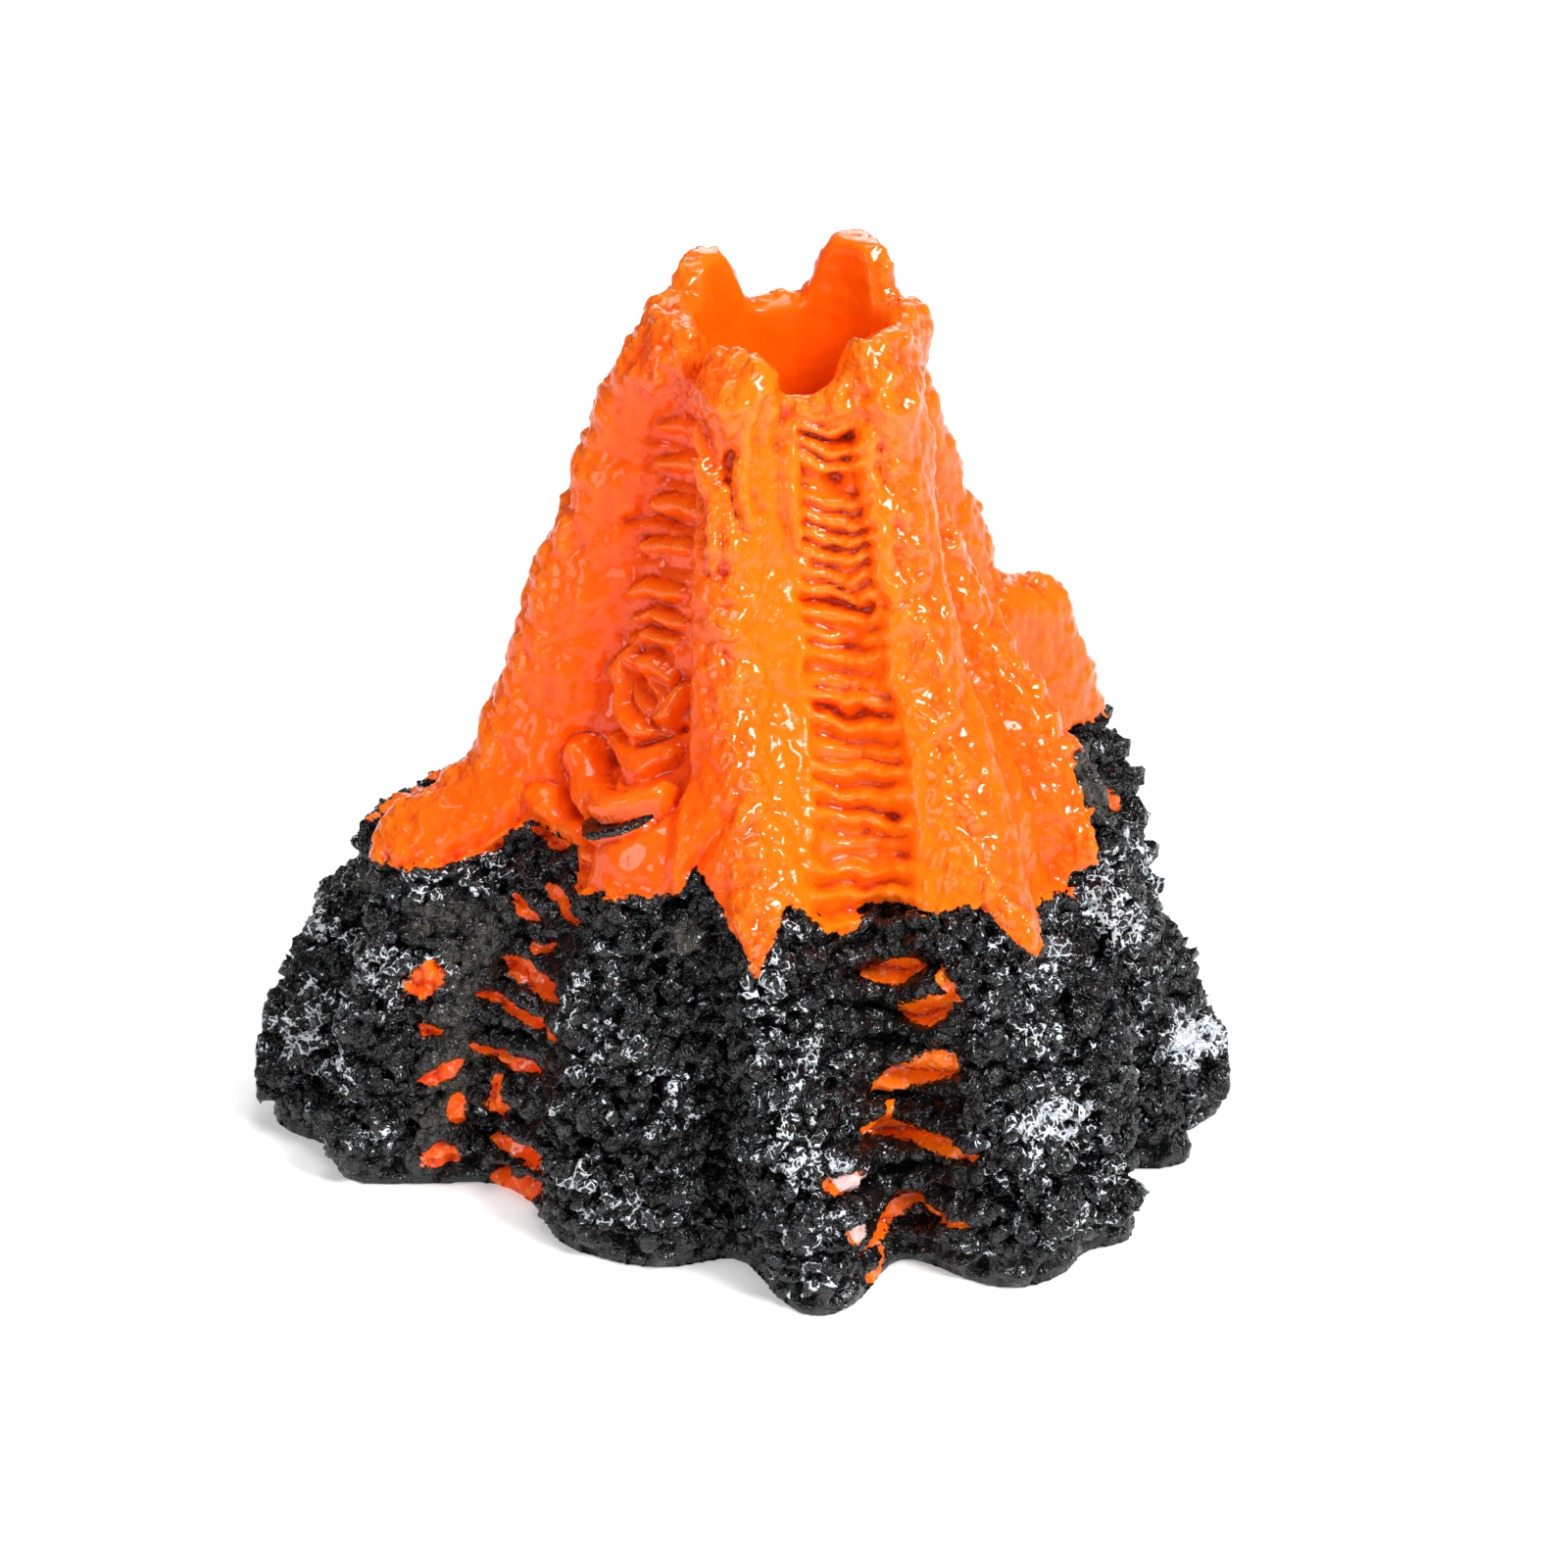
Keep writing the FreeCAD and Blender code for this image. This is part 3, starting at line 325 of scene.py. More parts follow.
class Neighbours:
    """Averages over the mesh's edges."""

    def __init__(self, mesh):
        pairs = np.empty(len(mesh.edges) * 2, np.int32)
        mesh.edges.foreach_get("vertices", pairs)
        self.a, self.b = pairs[0::2], pairs[1::2]
        self.count = len(mesh.vertices)
        self.degree = np.bincount(np.concatenate([self.a, self.b]), minlength=self.count).astype(float)

    def smooth(self, values, rounds):
        out = values.copy()
        for _ in range(rounds):
            if out.ndim == 1:
                total = np.bincount(self.a, out[self.b], self.count)
                total += np.bincount(self.b, out[self.a], self.count)
                out = 0.4 * out + 0.6 * total / self.degree
            else:
                out = np.stack([self.smooth(out[:, i], 1) for i in range(out.shape[1])], 1)
        return out


class Place:
    """Where each point of the casting is: bearing, radius and height."""

    def __init__(self, p):
        self.p = p
        self.r = np.hypot(p[:, 0], p[:, 1])
        self.bearing = np.degrees(np.arctan2(p[:, 1], p[:, 0])) % 360
        self.z = p[:, 2]

    def across(self, line):
        """Distance from a crest or channel line along the level, in millimetres."""
        return np.radians(turn(self.bearing, track(line, self.z))) * self.r

    def spot(self, bearing, height, wide, tall):
        """1 at a place on the surface, fading to 0 over wide and tall millimetres."""
        dx = np.radians(turn(self.bearing, bearing)) * self.r / wide
        dz = (self.z - height) / tall
        return np.exp(-0.5 * (dx * dx + dz * dz))


def scatter_streaks(line, half_width, top, foot, gap, seed):
    """Invented streaks down a channel at the back, sloping to alternate sides."""
    made = []
    z, i = top, 0
    while z > foot:
        middle = float(track(line, z))
        luck = [float(lattice(np.array([i]), np.array([k]), np.array([seed]), 5)[0]) for k in range(4)]
        side = 1 if i % 2 else -1
        start = middle - half_width * (0.2 + 0.8 * luck[0])
        end = middle + half_width * (0.2 + 0.8 * luck[1])
        slope = side * (0.6 + 1.6 * luck[2])
        if luck[3] > 0.2:
            path = [(start, z + slope), ((start + end) / 2, z - 0.9), (end, z - slope)]
            made.append((path, 0.5 + 0.9 * luck[3]))
        z, i = z - gap * (0.7 + 0.6 * luck[2]), i + 1
    return made


BACK_STREAKS = (
    scatter_streaks([(45, 44), (0, 41)], 5.0, 42, 4, 6.4, 27)
    + scatter_streaks([(45, 157), (0, 158)], 5.0, 42, 4, 6.2, 29)
    + scatter_streaks([(45, 96), (24, 96)], 8.0, 42, 29, 5.6, 31)
)


def along_path(place, points):
    """Distance to a path over the surface, in millimetres, and how far along it, from 0 to 1."""
    scale = np.radians(1) * place.r
    best, share = np.full(len(place.r), 99.0), np.zeros(len(place.r))
    for i in range(len(points) - 1):
        (b0, z0), (b1, z1) = points[i], points[i + 1]
        px, pz = turn(place.bearing, b0) * scale, place.z - z0
        sx, sz = (b1 - b0) * scale, z1 - z0
        t = np.clip((px * sx + pz * sz) / (sx * sx + sz * sz + 1e-9), 0, 1)
        d = np.hypot(px - t * sx, pz - t * sz)
        closer = d < best
        best = np.where(closer, d, best)
        share = np.where(closer, (i + t) / (len(points) - 1), share)
    return best, share


def stroke(place, points, half, warp):
    """How far inside a brush stroke with tapered ends a point is, from -1 to 1, and its distance away."""
    d, share = along_path(place, points)
    d = np.maximum(d + warp, 0)
    taper = half * (0.35 + 0.65 * np.sqrt(np.clip(4 * share * (1 - share), 0, 1)))
    return np.maximum(1 - d / taper, -1), d


def swoop(start, end, height, rise, half):
    """A streak's path and half thickness: it sags between two bearings."""
    middle = (start + end) / 2
    return [(start, height), (middle, height + rise / 2 - STREAK_SAG), (end, height + rise)], half


FRONT_STREAKS = [swoop(*row) for row in STREAKS]
WHITE_STREAKS = [swoop(*row) for row in PALE_STREAKS]


def count_folds(pitch, level):
    """How many folds there are below each height, with the spacing given as (height, spacing) knots."""
    knots = np.linspace(-20, 130, 301)
    counted = np.concatenate([[0], np.cumsum(0.5 / track(pitch, knots[:-1] + 0.25))])
    return np.interp(level, knots, counted)


def rungs(level):
    """How far the front channel's folds stand out: rounded rungs of uneven strength, with deep pockets."""
    phase = count_folds(LADDER_PITCH, level)
    number = np.floor(phase).astype(np.int64)
    own = lattice(number, number * 0 + 5, number * 0, 9)
    out = (0.8 + 0.6 * own) * (0.5 - 0.5 * np.cos(2 * np.pi * phase)) - 0.5
    for height in LADDER_POCKETS:
        out -= 0.8 * np.exp(-(((level - height) / 0.8) ** 2))
    return out


def ladder_field(place):
    """How far inside the front channel a point is, and how far its folds stand out there."""
    s = place.across(LADDER) + 0.9 * gradient_noise(place.p / 6.0, 65)
    s += 0.4 * gradient_noise(place.p / 2.5, 66)
    u = s / track(LADDER_HALF, place.z)
    inside = step(1.25, 0.70, np.abs(u)) * step(LADDER_TOP, LADDER_TOP - 4, place.z)
    inside *= step(LADDER_FOOT - 2.5, LADDER_FOOT, place.z)
    wobble = 0.8 * gradient_noise(np.stack([s / 3.0, place.z / 5.0, 0 * s], 1), 3)
    level = place.z + wobble - 1.5 * np.clip(u, -1.2, 1.2) ** 2 + 0.25 * u
    rim = np.exp(-(((np.abs(u) - 1.18) / 0.2) ** 2))
    rim *= step(LADDER_TOP + 3, LADDER_TOP - 3, place.z) * step(LADDER_FOOT - 1, LADDER_FOOT + 5, place.z)
    return u, inside, rungs(level), rim


def fold_field(place, f):
    """For a channel of folds: how far across a point is, how far inside, its fold's height and strength."""
    s = place.across(f["line"])
    wide = track(f["wide"], place.z)
    span = step(f["top"] + 1.5, f["top"] - 2.5, place.z) * step(f["foot"] - 1.0, f["foot"] + 2.0, place.z)
    ragged = 0.22 * gradient_noise(place.p / 3.5, f["seed"] + 300)
    inside = step(1.15, 0.65, np.abs(s) / wide + ragged) * span
    flow = np.stack([s / 4.0, place.z / 8.0, np.full(len(s), f["seed"] * 3.1)], 1)
    wander = gradient_noise(flow, f["seed"])
    level = place.z + wander * 1.7 + f["tilt"] * s - f["sag"] * s * s
    phase = count_folds(f["pitch"], level)
    number = np.floor(phase).astype(np.int64)
    along = 1 - (phase - number)
    own = lattice(number, number * 0 + f["seed"], number * 0, f["seed"])
    lobe = np.sqrt(np.clip(1 - (2 * along - 1) ** 2, 0, 1)) * (0.72 + 0.45 * along)
    return s / wide, inside, lobe, own


def left_channel(place):
    """How far inside the left channel a point is: it ends at a steep wall on its right."""
    after_left = place.across(LEFT_CHANNEL_START) + 0.8 * gradient_noise(place.p / 5.0, 68)
    before_right = -place.across(LEFT_CHANNEL_END) + 0.5 * gradient_noise(place.p / 6.0, 69)
    share = step(-1.5, 4.0, after_left) * step(-0.6, 1.2, before_right)
    return share * step(116, 108, place.z) * step(45.5, 50, place.z)


def channels(place):
    """The folded channels, rolls, creases and streaks: how far they stand out, where the folds are, and
    how far inside an orange streak each point is, from -1 to 1."""
    rise = np.zeros(len(place.r))
    u, folded, fold, rim = ladder_field(place)
    rise += folded * (1.8 * fold - 0.9 * (1 - np.clip(u, -1, 1) ** 2))
    rise += 0.4 * rim * (1 + gradient_noise(place.p / 3.0, 67))
    for f in FOLDS:
        u, inside, lobe, own = fold_field(place, f)
        trough = inside * (1 - 0.55 * np.clip(u, -1, 1) ** 2)
        rise += -f["dent"] * trough + inside * f["lift"] * (0.55 + 0.75 * own) * (lobe - 0.25)
        folded = np.maximum(folded, inside)
    left = left_channel(place)
    rise -= left * track(LEFT_CHANNEL_DEPTH, place.z)
    folded = np.maximum(folded, left)
    warp = 0.45 * gradient_noise(place.p / 4.0, 61)
    for points, half, lift in ROLLS:
        d, share = along_path(place, points)
        d = d + warp
        taper = half * (0.55 + 0.45 * np.sqrt(np.clip(4 * share * (1 - share), 0, 1)))
        groove = 0.5 * np.exp(-(((d - taper - 0.4) / 0.5) ** 2))
        rise += lift * np.sqrt(np.clip(1 - (d / taper) ** 2, 0, 1)) - groove
    for points, half, depth in CREASES:
        d, _ = along_path(place, points)
        rise -= depth * np.exp(-((d / half) ** 2) * 1.2)
    for bearing, height, radius, lift in KNOBS:
        d = np.hypot(np.radians(turn(place.bearing, bearing)) * place.r, place.z - height)
        rise += lift * np.exp(-1.3 * ((d + warp) / radius) ** 2)
    streak = np.full(len(place.r), -1.0)
    for points, half in FRONT_STREAKS + BACK_STREAKS + WHITE_STREAKS:
        inside, d = stroke(place, points, half, 0.5 * warp)
        lip, _ = along_path(place, [(b, z + half + 1.1) for b, z in points])
        rise += 1.2 * np.exp(-((lip / 1.2) ** 2)) - 0.8 * np.exp(-((d / (half + 0.3)) ** 2))
        streak = np.maximum(streak, inside)
    return rise, folded, streak


def sculpt_large(place, outer):
    """The large forms: channels, ledges and lumps, in millimetres outwards."""
    p = place.p
    rise, folded, streak = channels(place)
    rock = rock_share(place)
    calm = 1 - 0.75 * folded
    ledges = gradient_noise(p * np.array([0.085, 0.085, 0.19]), 41)
    lumps = gradient_noise(p / 10.0, 43)
    boulders = gradient_noise(p / 5.0, 47)
    terrace = np.abs(gradient_noise(p * np.array([0.07, 0.07, 0.30]) + 5.0, 53))
    patchy = step(-0.1, 0.5, gradient_noise(p / 16.0, 55))
    cut = -1.7 * step(0.20, 0.02, terrace) * patchy
    warp = 0.35 * layered(p / 4.0, 49, 2)[:, None]
    near, second = cells(p / CHUNK_SIZE + warp, 50)
    chunks = 2.2 * (0.55 - near) - 1.3 * step(0.16, 0.0, second - near)
    near, second = cells(p / NODULE_SIZE + 2.2 * warp, 51)
    nodules = 1.3 * (0.55 - near) - 0.8 * step(0.2, 0.0, second - near)
    shelf = (place.z + 2.2 * gradient_noise(p / 14.0, 45) + 0.8 * gradient_noise(p / 5.0, 46)) / SHELF_PITCH
    tooth = shelf - np.floor(shelf)
    ledged = step(-0.25, 0.2, gradient_noise(p / 12.0, 48))
    shelves = 1.5 * (step(0.0, 0.2, tooth) * (1 - tooth) - 0.3) * ledged
    plain = 1 - 0.8 * bare_share(place)
    forms = 1.0 * ledges + 0.8 * lumps + 0.6 * boulders + cut + chunks + nodules + shelves
    rise += rock * calm * plain * forms
    crest = crest_share(place, CREST_HALF)
    knobs = gradient_noise(p / np.array([4.0, 4.0, 5.5]) + 9.0, 59)
    drape = gradient_noise(p * np.array([0.28, 0.28, 0.08]), 63)
    flank = (1 - folded) * (0.3 * boulders + 0.5 * drape)
    rise += (1 - rock) * (0.35 * lumps + crest * (0.5 + 1.0 * knobs) + flank)
    return rise * outer, folded, streak


def bare_share(place):
    """How smooth and bare the rock is, from 0 to 1."""
    share = np.zeros(len(place.p))
    for bearing, height, wide, tall in BARE:
        share = np.maximum(share, place.spot(bearing, height, wide, tall))
    return share


def paint_edge(place):
    """The height of the orange paint's lower edge at each point's bearing."""
    return np.interp(place.bearing, [k[0] for k in PAINT_EDGE], [k[1] for k in PAINT_EDGE])


def rock_share(place):
    """1 on the black rock, 0 on the lava, with a soft step at the paint's edge."""
    return step(1.5, -1.5, place.z - paint_edge(place))


def crest_share(place, half_width):
    """1 on the fins' crests and the crater's edge, fading to 0 beside them."""
    share = np.zeros(len(place.p))
    for line in CRESTS.values():
        top = max(k[0] for k in line) + 6
        near = np.exp(-(place.across(line) / half_width) ** 2)
        share = np.maximum(share, near * step(top + 6, top - 4, place.z))
    rim = step(103.0, 110.0, place.z)
    return np.maximum(share, rim * 0.9)


def warm_share(place):
    """Painted light and shade on the orange, from -1, deep red-orange painted shade on the left flanks that
    face away from the light, to 1, golden, partly painted light on the flanks that face it and partly a
    golden spray in the paint.
    """
    right_of_left = place.across(CRESTS["left"])
    right_of_front_left = place.across(CRESTS["front_left"])
    right_of_front_right = place.across(CRESTS["front_right"])
    # Painted light: golden between the two front crests, whose flanks face the key light. Painted shade:
    # deep red-orange in the left channel and on the left flanks, which face away from it.
    golden = step(-1.0, 3.0, right_of_front_left) * step(4.0, -4.0, right_of_front_right)
    shaded = step(2.0, 6.0, right_of_left) * step(0.5, -1.5, right_of_front_left)
    shaded = shaded * step(180, 190, place.bearing) * step(262, 258, place.bearing)
    return golden - 0.9 * shaded


def sculpt_fine(place, outer, folded, streak, throat):
    """The surface grain: pebbles on the lava's crests, runs on its flanks, pits in the rock."""
    p = place.p
    rock = rock_share(place)
    crest = crest_share(place, PEBBLED_HALF)
    warp = 0.3 * layered(p / 3.0, 75, 2)[:, None]
    near, _ = cells(p / PEBBLE_SIZE + warp, 71)
    near_small, _ = cells(p / 1.5 + warp, 73)
    runs = gradient_noise(p * np.array([0.62, 0.62, 0.17]), 79)
    dimples = gradient_noise(p / 1.7, 83)
    lava = crest * (1.25 * (0.55 - near) + 0.4 * (0.55 - near_small) + 0.35 * dimples)
    lava += (1 - crest) * (0.28 * runs + 0.2 * dimples + 0.2 * (0.55 - near))
    lava *= 1 - 0.45 * folded
    pit_near, pit_second = cells(p / PIT_SIZE + 0.4 * layered(p / 3.4, 89, 2)[:, None], 91)
    wall = pit_second - pit_near
    pits = -1.25 * step(0.22, 0.58, wall) * step(-0.1, 0.4, gradient_noise(p / 6.0, 95) + 0.3)
    wander = 0.5 * layered(p / 3.0, 87, 2)[:, None]
    net = np.maximum(1 - np.abs(gradient_noise(p / 3.4 + wander, 97)) / 0.3, 0)
    small_net = np.maximum(1 - np.abs(gradient_noise(p / 2.0 + wander, 99)) / 0.4, 0)
    grit = 0.25 * layered(p / 2.4, 101, 2)
    smooth = np.maximum(0.8 * bare_share(place), step(-0.3, 0.3, streak))
    relief = 1.0 * pits + 1.1 * net + 0.35 * small_net + grit
    stone = relief * (1 - 0.65 * folded) * (1 - 0.8 * smooth) + 0.1
    skirt = step(SKIRT_TOP + 0.9, SKIRT_TOP - 0.2, place.z)
    stone = stone * (1 - skirt) + skirt * 0.12 * dimples
    inside = 0.10 * gradient_noise(p / 2.4, 103) + 0.05 * dimples
    return outer * (rock * stone + (1 - rock) * lava) * (1 - throat) + inside * throat


def keep_in_box(p, low, high, soft):
    """Eases any point that would pass the CAD box's sides or its top back inside it, without a flat spot."""
    for axis in range(3):
        over = p[:, axis] - (high[axis] - soft)
        eased = soft * (1 - np.exp(-over / soft)) * 0.98
        p[:, axis] = np.where(over > 0, high[axis] - soft + eased, p[:, axis])
        under = (low[axis] + soft) - p[:, axis]
        eased = soft * (1 - np.exp(-under / soft)) * 0.98
        if axis < 2:
            p[:, axis] = np.where(under > 0, low[axis] + soft - eased, p[:, axis])
    return p


def add_fields(mesh, **fields):
    """Stores a number on each point for every named field."""
    for name, values in fields.items():
        field = mesh.attributes.new(name, "FLOAT", "POINT")
        field.data.foreach_set("value", values.astype(np.float32))


def rim_lift(place):
    """How far the crater's edge is lifted: two blunt lobes beside the front lip, and a notch on the left."""
    lift = np.zeros(len(place.r))
    for bearing, half_width, height in RIM_LOBES:
        lift += height * np.exp(-((turn(place.bearing, bearing) / half_width) ** 4))
    return lift * step(102.0, 109.0, place.z)


def shape_casting(mesh, near):
    """Moves the mesh's points: the crater's edge, the large forms, then the grain."""
    p = read_points(mesh)
    normals = near.smooth(read_normals(mesh), 3)
    normals /= np.linalg.norm(normals, axis=1)[:, None]
    rounding = 0.9 * step(97, 107, p[:, 2])
    p = p + (near.smooth(p, 12) - p) * rounding[:, None]
    p[:, 2] += rim_lift(Place(p))
    place = Place(p)
    gap = place.r - track(HOLLOW, place.z)
    arch_top = ARCH_SPRING + np.sqrt(np.clip((ARCH_HALF + 1.6) ** 2 - place.p[:, 0] ** 2, 0, None))
    arch = (np.abs(p[:, 0]) < ARCH_HALF + 1.6) & (p[:, 1] > 0) & (p[:, 2] < arch_top)
    outer = step(0.8, 2.6, gap) * step(0.15, 2.2, place.z) * np.where(arch, 0.0, 1.0)
    outer = near.smooth(outer, 4)
    throat = step(0.9, 0.3, gap) * step(70.0, 78.0, place.z)
    large, folded, streak = sculpt_large(place, outer)
    p = p + normals * near.smooth(large, 1)[:, None]
    write_points(mesh, p)
    normals = read_normals(mesh)
    fine = sculpt_fine(Place(p), outer, folded, streak, throat)
    p = p + normals * fine[:, None]
    p = keep_in_box(p, np.array(BOX_LOW), np.array(BOX_HIGH), 1.6)
    flat = (place.z < 0.45) & (p[:, 2] < 0.6)
    p[flat, 2] = 0.0
    p[:, 2] = np.maximum(p[:, 2], 0.0)
    write_points(mesh, p)
    return p, folded, streak


def mark_casting(mesh, near, p, folded, streak):
    """Stores on each point what the paint needs to know of its place and its shape."""
    place = Place(p)
    normals = read_normals(mesh)
    bulge = np.einsum("ij,ij->i", p - near.smooth(p, 6), normals)
    swell = np.einsum("ij,ij->i", p - near.smooth(p, 26), normals)
    frost = np.full(len(p), FROST_EVERYWHERE)
    for bearing, height, wide, tall, strength in FROST:
        frost = np.maximum(frost, strength * place.spot(bearing, height, wide, tall))
    inner = near.smooth(1 - step(0.4, 1.6, place.r - track(HOLLOW, place.z)), 2)
    gap, pale = np.full(len(p), -1.0), np.full(len(p), -1.0)
    for points, half in GAPS:
        gap = np.maximum(gap, stroke(place, points, half, 0)[0])
    for points, half in WHITE_STREAKS:
        pale = np.maximum(pale, stroke(place, points, half + 0.3, 0)[0])
    skirt_level = place.z + 0.25 * gradient_noise(p / 3.0, 137)
    add_fields(
        mesh, streak=streak, bulge=bulge, swell=swell, frost=frost, inside=inner,
        pale=pale, gap=gap, folded=folded,
        paint=place.z - paint_edge(place) + 0.8 * layered(p / 2.2, 131, 3),
        bare=bare_share(place),
        warm=near.smooth(warm_share(place), 3),
        crest=crest_share(place, PEBBLED_HALF) * (1 - inner),
        skirt=step(SKIRT_TOP + 0.5, SKIRT_TOP - 0.1, skirt_level),
    )


def casting():
    """The volcano casting, sculpted and marked for its paint, in metres."""
    mesh = even_mesh("volcano_shell", VOXEL)
    near = Neighbours(mesh)
    p, folded, streak = shape_casting(mesh, near)
    mark_casting(mesh, near, p, folded, streak)
    mesh.transform(Matrix.Scale(MM, 4))
    mesh.polygons.foreach_set("use_smooth", np.ones(len(mesh.polygons), bool))
    ob = bpy.data.objects.new("volcano_casting", mesh)
    link(ob)
    return ob


SHELL_LOW, SHELL_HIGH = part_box("volcano_shell")
BOX_LOW = [c / MM for c in SHELL_LOW]
BOX_HIGH = [c / MM for c in SHELL_HIGH]

# ---------------------------------------------------------------- materials


class Shade:
    """A material's node tree, built with short calls."""

    def __init__(self, name):
        self.material = bpy.data.materials.new(name)
        self.material.use_nodes = True
        self.tree = self.material.node_tree
        self.tree.nodes.clear()
        self.out = self.tree.nodes.new("ShaderNodeOutputMaterial")
        self.surface = self.tree.nodes.new("ShaderNodeBsdfPrincipled")
        self.tree.links.new(self.surface.outputs[0], self.out.inputs["Surface"])
        self.coordinates = self.tree.nodes.new("ShaderNodeTexCoord").outputs["Object"]

    def put(self, socket, value):
        if isinstance(value, bpy.types.NodeSocket):
            self.tree.links.new(value, socket)
        elif value is not None:
            socket.default_value = value

    def set(self, **inputs):
        for name, value in inputs.items():
            self.put(self.surface.inputs[name.replace("_", " ")], value)

    def math(self, operation, a, b=None, clamp=False):
        node = self.tree.nodes.new("ShaderNodeMath")
        node.operation, node.use_clamp = operation, clamp
        for socket, value in zip(node.inputs, (a, b)):
            self.put(socket, value)
        return node.outputs[0]

    def times(self, a, b):
        return self.math("MULTIPLY", a, b)

    def plus(self, a, b):
        return self.math("ADD", a, b)

    def rest_of(self, share):
        """1 less a share."""
        return self.math("SUBTRACT", 1.0, share)

    def centred(self, noise, amount):
        """Noise about 0 in place of 0.5, times an amount."""
        return self.times(self.math("SUBTRACT", noise, 0.5), amount)

    def ramp(self, value, low, high, to_low=0.0, to_high=1.0, smooth=True):
        node = self.tree.nodes.new("ShaderNodeMapRange")
        node.interpolation_type = "SMOOTHSTEP" if smooth else "LINEAR"
        for socket, x in zip(node.inputs, (value, low, high, to_low, to_high)):
            self.put(socket, x)
        return node.outputs[0]

    def mix(self, share, a, b):
        """Mixes two colours."""
        node = self.tree.nodes.new("ShaderNodeMix")
        node.data_type = "RGBA"
        self.put(node.inputs[0], share)
        self.put(node.inputs[6], a)
        self.put(node.inputs[7], b)
        return node.outputs[2]

    def tint(self, base, colour, share, strength):
        """Mixes a colour into a base, by a share times a strength."""
        return self.mix(self.times(share, strength), base, colour)

    def blend(self, share, a, b):
        """Mixes two numbers."""
        node = self.tree.nodes.new("ShaderNodeMix")
        self.put(node.inputs[0], share)
        self.put(node.inputs[2], a)
        self.put(node.inputs[3], b)
        return node.outputs[0]

    def warped(self, size_mm, amount_mm):
        """Coordinates that wander by up to amount_mm."""
        node = self.tree.nodes.new("ShaderNodeTexNoise")
        node.inputs["Scale"].default_value = 1 / (size_mm * MM)
        self.tree.links.new(self.coordinates, node.inputs["Vector"])
        scale = self.tree.nodes.new("ShaderNodeVectorMath")
        scale.operation = "MULTIPLY_ADD"
        self.tree.links.new(node.outputs["Color"], scale.inputs[0])
        scale.inputs[1].default_value = [2 * amount_mm * MM] * 3
        self.tree.links.new(self.coordinates, scale.inputs[2])
        return scale.outputs[0]

    def field(self, name):
        node = self.tree.nodes.new("ShaderNodeAttribute")
        node.attribute_name = name
        return node.outputs["Fac"]

    def stretched(self, scale):
        node = self.tree.nodes.new("ShaderNodeMapping")
        self.tree.links.new(self.coordinates, node.inputs["Vector"])
        node.inputs["Scale"].default_value = scale
        return node.outputs[0]

    def noise(self, size_mm, detail=2.0, rough=0.5, stretch=(1, 1, 1)):
        """Noise from 0 to 1 with features about size_mm across."""
        node = self.tree.nodes.new("ShaderNodeTexNoise")
        node.inputs["Scale"].default_value = 1 / (size_mm * MM)
        node.inputs["Detail"].default_value = detail
        node.inputs["Roughness"].default_value = rough
        self.tree.links.new(self.stretched(stretch), node.inputs["Vector"])
        return node.outputs["Fac"]

    def cell(self, size_mm, feature="F1", where=None):
        node = self.tree.nodes.new("ShaderNodeTexVoronoi")
        node.feature = feature
        node.inputs["Scale"].default_value = 1 / (size_mm * MM)
        self.tree.links.new(where or self.coordinates, node.inputs["Vector"])
        return node.outputs["Distance"]

    def bump(self, height, depth_mm):
        node = self.tree.nodes.new("ShaderNodeBump")
        node.inputs["Strength"].default_value = 1.0
        node.inputs["Distance"].default_value = depth_mm * MM
        self.put(node.inputs["Height"], height)
        self.put(self.surface.inputs["Normal"], node.outputs[0])


def rgb(r, g, b):
    """An sRGB colour, from 0 to 255, as the linear numbers that shaders take."""
    def line(v):
        v /= 255
        return v / 12.92 if v <= 0.04045 else ((v + 0.055) / 1.055) ** 2.4
    return (line(r), line(g), line(b), 1.0)


def lava_masks(m, ragged):
    """Where the orange lava flow is, and where any orange is: the flow and the streaks, less the gaps."""
    upper = m.ramp(m.plus(m.field("paint"), ragged), -0.08, 0.08)
    streak_line = m.plus(m.field("streak"), m.times(ragged, 0.8))
    streak = m.ramp(streak_line, -0.1, 0.1)
    gap = m.ramp(m.plus(m.field("gap"), m.times(ragged, 0.5)), -0.1, 0.1)
    return upper, m.times(m.math("MAXIMUM", upper, streak), m.rest_of(gap))


